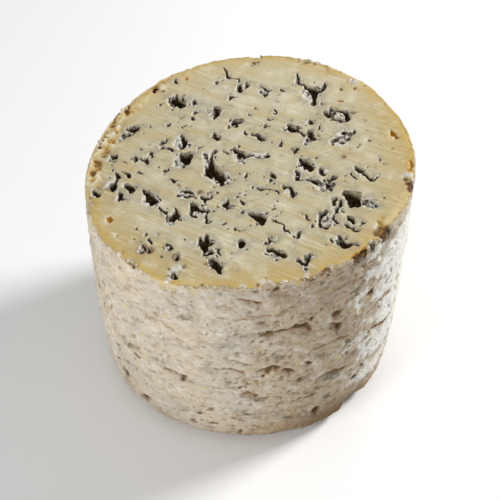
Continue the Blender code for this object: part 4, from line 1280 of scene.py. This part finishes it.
def pasteMaterial():
    look = pasteLook
    material, tree, shader = newMaterial("ivoryPaste")
    depth, near, dark, side, litLean = attributes(tree, "depth", "near", "dark", "side", "litLean")
    torn, lumps, chip, bulge, ochre = attributes(tree, "torn", "lumps", "chip", "bulge", "ochre")
    brown, pale, eye, halo, mound, white = attributes(tree, "brown", "pale", "eye", "halo", "mound", "white")
    broad = pattern(tree, 16.0, 3.0)
    middle = pattern(tree, 4.5, 4.0, seed=2.0)
    fine = pattern(tree, 1.1, 3.0, seed=4.0)
    drag = paste["Streak turn"]
    streak = pattern(tree, (14.0, 0.9, 14.0), 5.0, 0.62, seed=6.0, turn=drag)
    wide = pattern(tree, (22.0, 3.6, 22.0), 3.0, 0.55, seed=16.0, turn=drag)
    cloud = pattern(tree, 8.0, 4.0, 0.6, seed=31.0)
    drawn = between(tree, pattern(tree, 17.0, 2.0, seed=33.0), 0.4, 0.58, 0.25, 1.0)
    # The body of the paste: cream in the middle, golden under the rind, streaked along the cut
    inward = plus(tree, side, broad, 22.0)
    colour = mixed(tree, between(tree, inward, 8.0, 32.0), look["gold"], look["cream"])
    colour = laid(tree, colour, look["pale"], between(tree, cloud, 0.48, 0.66, 0.0, 0.6))
    colour = laid(tree, colour, look["gold"], between(tree, wide, 0.42, 0.64, 0.0, 0.5))
    colour = laid(tree, colour, look["drag"], between(tree, streak, 0.5, 0.32, 0.0, 0.8), drawn)
    colour = laid(tree, colour, look["pale"], between(tree, streak, 0.54, 0.7, 0.0, 0.75), drawn)
    # Paler towards the back: painted light where the lamp from the back right falls on the cut
    far = add(tree, "ShaderNodeSeparateXYZ", objectPlace(tree), output=1)
    colour = laid(tree, colour, look["pale"], between(tree, far, 15.0, 60.0, 0.0, 0.22))
    rim = plus(tree, side, middle, -5.0)
    colour = laid(tree, colour, look["rim"], between(tree, rim, 1.8, -2.6, 0.0, 0.65))
    gilded = pattern(tree, 5.0, 4.0, 0.6, seed=35.0)
    colour = laid(tree, colour, look["gilt"], between(tree, side, 4.5, 0.5),
                  between(tree, gilded, 0.46, 0.62, 0.0, 0.5), between(tree, far, -20.0, 15.0, 0.5, 1.0))
    colour = laid(tree, colour, look["butter"], bulge, between(tree, streak, 0.3, 0.6, 0.4, 0.9))
    # The torn edge: cream on its ridges, ochre and brown in its dips
    ridged = mixed(tree, between(tree, lumps, -0.2, 0.45, 0.0, 0.85), look["honey"], look["pale"])
    ridged = laid(tree, ridged, look["ochre"], between(tree, lumps, -0.25, -0.8, 0.0, 0.7))
    ridged = laid(tree, ridged, look["brown"], between(tree, lumps, -0.5, -1.1, 0.0, 0.75))
    colour = laid(tree, colour, ridged, torn)
    broken = plus(tree, chip, fine, 1.3)
    chipped = mixed(tree, between(tree, broken, 1.05, 1.4), look["amber"], look["crust"])
    colour = laid(tree, colour, chipped, between(tree, broken, 0.7, 0.95), between(tree, chip, 0.02, 0.15))
    # Blue haze and grey flecks round the hollows
    colour = laid(tree, colour, look["haze"], between(tree, near, 6.0, 0.6),
                  between(tree, middle, 0.42, 0.58), 0.55, between(tree, fine, 0.34, 0.6, 0.35, 1.0))
    fleck = between(tree, pattern(tree, 0.8, 2.0, seed=22.0), 0.62, 0.7)
    flecked = between(tree, pattern(tree, 5.0, 2.0, seed=23.0), 0.48, 0.6)
    colour = laid(tree, colour, look["slate"], fleck, between(tree, near, 6.0, 1.0), flecked, 0.7)
    # Stains, and the bare golden eyes with their pale edge
    colour = laid(tree, colour, look["ochre"], ochre, 0.8)
    colour = laid(tree, colour, look["brown"], brown, 0.8)
    colour = laid(tree, colour, look["brown"], halo, between(tree, near, 2.0, 0.2),
                  between(tree, fine, 0.3, 0.5, 0.5, 0.9))
    colour = laid(tree, colour, look["pale"], pale, 0.6)
    colour = laid(tree, colour, look["pale"], eye, 0.6)
    hollowEye = mixed(tree, between(tree, depth, 0.3, 0.9), look["ochre"], look["amber"])
    colour = laid(tree, colour, hollowEye, eye, between(tree, depth, 0.15, 0.5))
    # A hollow: a thin white lip of mould with a painted highlight, fullest on the left; grey mould where the
    # paste was dragged, lighter there as painted light and darker to the right as painted shade; brown-black
    # below
    crumbly = maths(tree, "SUBTRACT", pattern(tree, 0.8, 4.0, 0.65, seed=21.0), 0.5)
    lip = product(tree, between(tree, near, 0.7, 0.25), between(tree, fine, 0.26, 0.46),
                  between(tree, litLean, 0.0, 0.7, 0.6, 1.0), between(tree, middle, 0.36, 0.56, 0.5, 1.0),
                  maths(tree, "SUBTRACT", 1.0, halo))
    inside = between(tree, near, 0.35, 0.0)
    core = plus(tree, plus(tree, dark, between(tree, litLean, 0.0, 1.0, -0.3, 0.6)), crumbly, 2.6)
    lining = mixed(tree, between(tree, core, -0.9, -0.4), look["dark"], look["slate"])
    lining = laid(tree, lining, look["mould"], between(tree, core, -0.5, -0.1))
    lining = laid(tree, lining, look["white"], between(tree, core, -0.1, 0.3))
    # Shelves lie between the core and the lip, white on their crests and brown in their dips
    dips = plus(tree, depth, crumbly, 2.4)
    shelf = mixed(tree, between(tree, dips, 0.1, 0.4), look["white"], look["mould"])
    shelf = laid(tree, shelf, look["slate"], between(tree, dips, 0.4, 0.65))
    shelf = laid(tree, shelf, look["dark"], between(tree, dips, 0.6, 0.9))
    lining = laid(tree, lining, shelf, between(tree, dark, 0.2, 0.8), between(tree, near, 0.2, -0.2))
    # Brown-black with depth: dark mould, deepened as painted shade
    below = mixed(tree, between(tree, fine, 0.48, 0.62), look["dark"], look["slate"])
    lining = laid(tree, lining, below, between(tree, depth, 1.0, 2.4, 0.0, 0.95))
    # Mounds inside the hollows, and lumps of white mould on the cut
    mounded = mixed(tree, between(tree, crumbly, -0.08, 0.06), look["mould"], look["white"])
    lining = laid(tree, lining, mounded, mound, between(tree, depth, 1.9, 1.1))
    lumpy = mixed(tree, between(tree, crumbly, -0.16, -0.02), look["mould"], look["white"])
    colour = laid(tree, colour, lumpy, white, between(tree, fine, 0.3, 0.5, 0.5, 0.95))
    colour = laid(tree, colour, lining, maths(tree, "MAXIMUM", lip, inside))
    feed(tree, shader.inputs["Base Color"], colour)
    rough = between(tree, fine, 0.3, 0.7, look["roughness"] - 0.08, look["roughness"] + 0.1)
    feed(tree, shader.inputs["Roughness"], plus(tree, rough, inside, 0.25))
    feed(tree, shader.inputs["Specular IOR Level"], between(tree, inside, 0.0, 1.0, 0.22, 0.08))
    shader.inputs["Subsurface Weight"].default_value = look["subsurface"]
    shader.inputs["Subsurface Radius"].default_value = look["subsurfaceRadius"]
    shader.inputs["Subsurface Scale"].default_value = look["subsurfaceScale"] * mm
    skin = bump(tree, pattern(tree, 0.6, 3.0, seed=8.0), 0.12, 0.7)
    skin = bump(tree, streak, 0.35, 0.8, skin)
    skin = bump(tree, middle, 0.5, 0.35, skin)
    feed(tree, shader.inputs["Normal"], skin)
    return material


rindLook = {
    "beige": tone(200, 186, 163), "grey": tone(192, 184, 169), "bloom": tone(229, 227, 220),
    "brown": tone(132, 104, 72), "dark": tone(64, 52, 38), "orange": tone(164, 116, 66),
    "green": tone(99, 98, 79), "slate": tone(119, 115, 99), "earth": tone(178, 158, 130),
    "gold": tone(214, 190, 136), "rust": tone(142, 106, 66), "foot": tone(156, 124, 88),
    "yellow": tone(206, 190, 124), "spill": tone(204, 186, 138), "lowDarkBrown": tone(106, 79, 48),
    "roughness": 0.9, "specular": 0.25,
}


def rindMaterial():
    look = rindLook
    material, tree, shader = newMaterial("dustyRind")
    deep, dark, green, relief, lip = attributes(tree, "deep", "dark", "green", "relief", "lip")
    bloom, shadedBrownFront, spill, chip = attributes(tree, "bloom", "shadedBrownFront", "spill", "chip")

    def shadedBrownShare(cool, full):
        # A share that runs from the other walls to the front right, where the rind is browner and is darkened
        # further as painted shade
        return between(tree, shadedBrownFront, 0.0, 0.7, cool, full)

    broad = pattern(tree, (26.0, 26.0, 18.0), 3.0)
    middle = pattern(tree, (6.0, 6.0, 3.4), 5.0, 0.62, seed=2.0)
    streak = pattern(tree, (2.8, 2.8, 1.6), 3.0, 0.55, seed=4.0)
    fine = pattern(tree, 1.1, 4.0, 0.65, seed=6.0)
    blotch = pattern(tree, (5.0, 5.0, 3.4), 4.0, 0.6, seed=51.0)
    smudge = pattern(tree, (11.0, 11.0, 7.0), 4.0, 0.6, seed=91.0)
    mottle = pattern(tree, (3.2, 3.2, 2.2), 5.0, 0.68, seed=71.0)
    x, y, z = add(tree, "ShaderNodeSeparateXYZ", objectPlace(tree)).node.outputs
    # The body of the rind: grey and beige, browner and darker on the front right, partly as painted shade
    colour = mixed(tree, between(tree, broad, 0.38, 0.62), look["grey"], look["beige"])
    colour = laid(tree, colour, look["earth"], between(tree, plus(tree, shadedBrownFront, middle), 0.75, 1.5, 0.0, 0.65))
    colour = laid(tree, colour, look["brown"], between(tree, middle, 0.52, 0.72), shadedBrownShare(0.24, 0.5))
    colour = laid(tree, colour, look["earth"], between(tree, blotch, 0.5, 0.64), shadedBrownShare(0.2, 0.5))
    colour = laid(tree, colour, look["bloom"], between(tree, streak, 0.5, 0.68), shadedBrownShare(0.3, 0.2))
    colour = laid(tree, colour, look["slate"], between(tree, smudge, 0.47, 0.34, 0.0, 0.4))
    colour = laid(tree, colour, look["bloom"], between(tree, smudge, 0.53, 0.66, 0.0, 0.35))
    # Brown high on the front right, partly painted shade
    colour = laid(tree, colour, look["foot"], between(tree, z, 76.0, 97.0), between(tree, shadedBrownFront, 0.1, 0.7),
                  between(tree, middle, 0.35, 0.6, 0.4, 1.0), between(tree, bloom, 0.2, 0.7, 0.6, 0.1))
    # Blotches of brown and of grey-green mould, thicker on the front right as painted shade
    murky = mixed(tree, between(tree, broad, 0.45, 0.55), look["rust"], look["green"])
    colour = laid(tree, colour, murky, between(tree, mottle, 0.47, 0.36),
                  between(tree, middle, 0.36, 0.56, 0.5, 1.0), shadedBrownShare(0.45, 0.78))
    # White bloom, with ragged edges; its fine flecks are thinner on the front right as painted shade
    patchy = plus(tree, maths(tree, "MULTIPLY", middle, 1.5), fine, 1.1)
    patchy = plus(tree, patchy, pattern(tree, 3.0, 4.0, 0.65, seed=81.0))
    colour = laid(tree, colour, look["bloom"], between(tree, plus(tree, bloom, patchy), 1.95, 2.7, 0.0, 0.93),
                  between(tree, bloom, 0.0, 0.3))
    colour = laid(tree, colour, look["bloom"], between(tree, fine, 0.54, 0.7), shadedBrownShare(0.2, 0.06))
    # Fine marks: brown grain, cracks, sallow spots, orange dots, slate specks and brown spots; the brown
    # grain, cracks and brown spots lie thicker on the front right as painted shade
    colour = laid(tree, colour, look["brown"], between(tree, fine, 0.46, 0.3), shadedBrownShare(0.22, 0.5))
    crack = pattern(tree, (2.2, 2.2, 1.2), 5.0, 0.7, seed=41.0)
    colour = laid(tree, colour, look["rust"], between(tree, crack, 0.4, 0.3),
                  between(tree, middle, 0.42, 0.55, 0.35, 1.0), shadedBrownShare(0.35, 0.8))
    colour = laid(tree, colour, look["yellow"], between(tree, spots(tree, 6.0, 1.4), 0.34, 0.12),
                  between(tree, middle, 0.44, 0.58), 0.46)
    colour = laid(tree, colour, look["orange"], between(tree, spots(tree, 2.3, 0.8), 0.3, 0.14),
                  between(tree, pattern(tree, 8.0, 2.0, seed=9.0), 0.52, 0.64), 0.55)
    colour = laid(tree, colour, look["slate"], between(tree, spots(tree, 3.1, 1.1), 0.28, 0.12),
                  between(tree, pattern(tree, 11.0, 2.0, seed=12.0), 0.45, 0.56), 0.6)
    colour = laid(tree, colour, look["brown"], between(tree, spots(tree, 4.6, 1.8), 0.36, 0.16),
                  between(tree, pattern(tree, 9.0, 2.0, seed=19.0), 0.45, 0.56), shadedBrownShare(0.3, 0.75))
    colour = laid(tree, colour, look["green"], between(tree, green, 0.1, 0.7),
                  between(tree, streak, 0.34, 0.52, 0.3, 1.0), between(tree, bloom, 0.3, 0.8, 0.8, 0.4))
    # The low relief: brown and dark in its dips, pale on its crests; the dips are darker on the front right
    # as painted shade
    colour = laid(tree, colour, look["brown"], between(tree, relief, -0.12, -0.8), shadedBrownShare(0.4, 0.7))
    colour = laid(tree, colour, look["dark"], between(tree, relief, -0.65, -1.3), shadedBrownShare(0.45, 0.8))
    colour = laid(tree, colour, look["bloom"], between(tree, relief, -0.05, 0.25, 0.0, 0.16))
    # The foot: painted shade in slate on the lower left, brown towards the right, and painted shade darkest
    # where it stands
    colour = laid(tree, colour, look["slate"], between(tree, z, 50.0, 5.0, 0.0, 0.17),
                  between(tree, x, 0.0, -35.0))
    colour = laid(tree, colour, look["foot"], between(tree, plus(tree, z, shadedBrownFront, -7.0), 16.0, -4.0, 0.0, 0.9),
                  between(tree, blotch, 0.35, 0.6, 1.0, 0.6), between(tree, bloom, 0.3, 0.9, 1.0, 0.35))
    colour = laid(tree, colour, look["lowDarkBrown"], between(tree, plus(tree, z, middle, 5.0), 9.0, 2.0),
                  between(tree, bloom, 0.3, 0.9, 1.0, 0.4), 0.78)
    # Darker low on the front right
    colour = laid(tree, colour, look["lowDarkBrown"], between(tree, plus(tree, z, middle, 14.0), 33.0, 13.0),
                  between(tree, x, 4.0, 36.0), between(tree, y, -33.0, -44.0), 0.85)
    # Pits and creases: brown at their edge, dark inside; a crease's dark is a painted shadow under its ledge,
    # and the rust edge lies thicker on the front right as painted shade
    colour = laid(tree, colour, look["brown"], between(tree, deep, 0.1, 0.9), 0.55)
    colour = laid(tree, colour, look["rust"], between(tree, dark, 0.05, 0.35), shadedBrownShare(0.4, 0.8))
    colour = laid(tree, colour, look["dark"], between(tree, dark, 0.3, 0.7),
                  between(tree, fine, 0.35, 0.6, 0.95, 0.6))
    # The lip is golden at the back, where the cut thins it, and crusty white at the front
    colour = laid(tree, colour, look["gold"], between(tree, lip, 0.7, 1.0),
                  between(tree, y, -30.0, -5.0, 0.35, 1.0), 0.85)
    colour = laid(tree, colour, look["brown"], lip, between(tree, fine, 0.52, 0.38),
                  between(tree, y, -45.0, -25.0, 0.8, 0.15))
    spilt = between(tree, plus(tree, spill, fine, 1.2), 0.8, 1.5, 0.0, 0.75)
    colour = laid(tree, colour, look["spill"], spilt, between(tree, mottle, 0.4, 0.54, 0.15, 1.0))
    broken = mixed(tree, between(tree, fine, 0.48, 0.66), look["dark"], look["earth"])
    colour = laid(tree, colour, broken, chip, 0.85)
    feed(tree, shader.inputs["Base Color"], colour)
    shader.inputs["Roughness"].default_value = look["roughness"]
    shader.inputs["Specular IOR Level"].default_value = look["specular"]
    skin = bump(tree, fine, 0.4, 0.5)
    skin = bump(tree, spots(tree, 1.2, 1.2), -0.15, 0.3, skin)
    skin = bump(tree, pattern(tree, 0.5, 3.0, 0.6, seed=15.0), 0.15, 0.4, skin)
    skin = bump(tree, mottle, 1.4, 0.6, skin)
    feed(tree, shader.inputs["Normal"], skin)
    return material


crumbLook = {
    "dull": tone(200, 184, 156), "pale": tone(230, 224, 208), "brown": tone(118, 84, 48),
    "tan": tone(190, 160, 120), "roughness": 0.8,
}


def crumbMaterial():
    look = crumbLook
    material, tree, shader = newMaterial("crustCrumb")
    shade = attributes(tree, "tone")[0]
    fine = pattern(tree, 0.5, 3.0)
    colour = mixed(tree, between(tree, shade, 0.2, 0.9), look["dull"], look["pale"])
    colour = laid(tree, colour, look["brown"], between(tree, shade, 0.3, 0.2))
    colour = laid(tree, colour, look["tan"], between(tree, fine, 0.6, 0.4, 0.0, 0.4))
    feed(tree, shader.inputs["Base Color"], colour)
    shader.inputs["Roughness"].default_value = look["roughness"]
    feed(tree, shader.inputs["Normal"], bump(tree, fine, 0.3, 0.6))
    return material


studio = {
    "focal": 88.31, "elevation": 46.13, "roll": 0.763, "distance": 512.0, "target": (0.911, 0.0, 52.93),
    "floor": tone(252, 252, 252), "floorHalf": 3.0, "floorRoughness": 0.9, "world": 0.32, "aimHeight": 0.06,
    # Each softbox: azimuth, elevation, distance and size in metres, power in watts
    "softboxes": (("leftSoftbox", -138, 18, 1.0, 0.5, 6.2), ("rightSoftbox", 26, 36, 1.1, 0.3, 10.8)),
}


def buildCamera():
    look = bpy.data.cameras.new("camera")
    look.lens = studio["focal"]
    look.sensor_width = 36.0
    camera = bpy.data.objects.new("camera", look)
    bpy.context.scene.collection.objects.link(camera)
    rise, roll = math.radians(studio["elevation"]), math.radians(studio["roll"])
    back = Vector((0, -math.cos(rise), math.sin(rise)))
    up = Vector((0, math.sin(rise), math.cos(rise)))
    right = Vector((1, 0, 0))
    aside = right * math.cos(roll) + up * math.sin(roll)
    over = up * math.cos(roll) - right * math.sin(roll)
    camera.rotation_euler = Matrix((aside, over, back)).transposed().to_euler()
    camera.location = (Vector(studio["target"]) + back * studio["distance"]) * mm
    bpy.context.scene.camera = camera


def softLight(name, place, size, power):
    lamp = bpy.data.lights.new(name, "AREA")
    lamp.shape = "DISK"
    lamp.size = size
    lamp.energy = power
    made = bpy.data.objects.new(name, lamp)
    made.location = place
    made.rotation_euler = (place - Vector((0, 0, studio["aimHeight"]))).to_track_quat("Z", "Y").to_euler()
    bpy.context.scene.collection.objects.link(made)


def buildStudio():
    floorMesh = bpy.data.meshes.new("floor")
    half = studio["floorHalf"]
    corners = [(-half, -half, 0), (half, -half, 0), (half, half, 0), (-half, half, 0)]
    floorMesh.from_pydata(corners, [], [(0, 1, 2, 3)])
    floor = placed("floor", floorMesh)
    material, _, shader = newMaterial("paleFloor")
    shader.inputs["Base Color"].default_value = studio["floor"]
    shader.inputs["Roughness"].default_value = studio["floorRoughness"]
    floorMesh.materials.append(material)
    world = bpy.data.worlds.new("softRoom")
    world.use_nodes = True
    world.node_tree.nodes["Background"].inputs["Color"].default_value = (1, 1, 1, 1)
    world.node_tree.nodes["Background"].inputs["Strength"].default_value = studio["world"]
    bpy.context.scene.world = world
    for name, azimuth, rise, distance, size, power in studio["softboxes"]:
        turn, lift = math.radians(azimuth), math.radians(rise)
        aim = Vector((math.cos(turn) * math.cos(lift), math.sin(turn) * math.cos(lift), math.sin(lift)))
        softLight(name, aim * distance, size, power)
    bpy.context.scene.view_settings.view_transform = "Standard"
    print("studio ready")


buildCamera()
pasteObject = buildPaste(pasteMaterial())
rindObject = buildRind(rindMaterial())
crumbObject = buildCrumbs(rindObject, crumbMaterial())
for piece in (pasteObject, rindObject, crumbObject):
    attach(piece, "root")
    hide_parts("cheese")
buildStudio()

print("pieces ready")
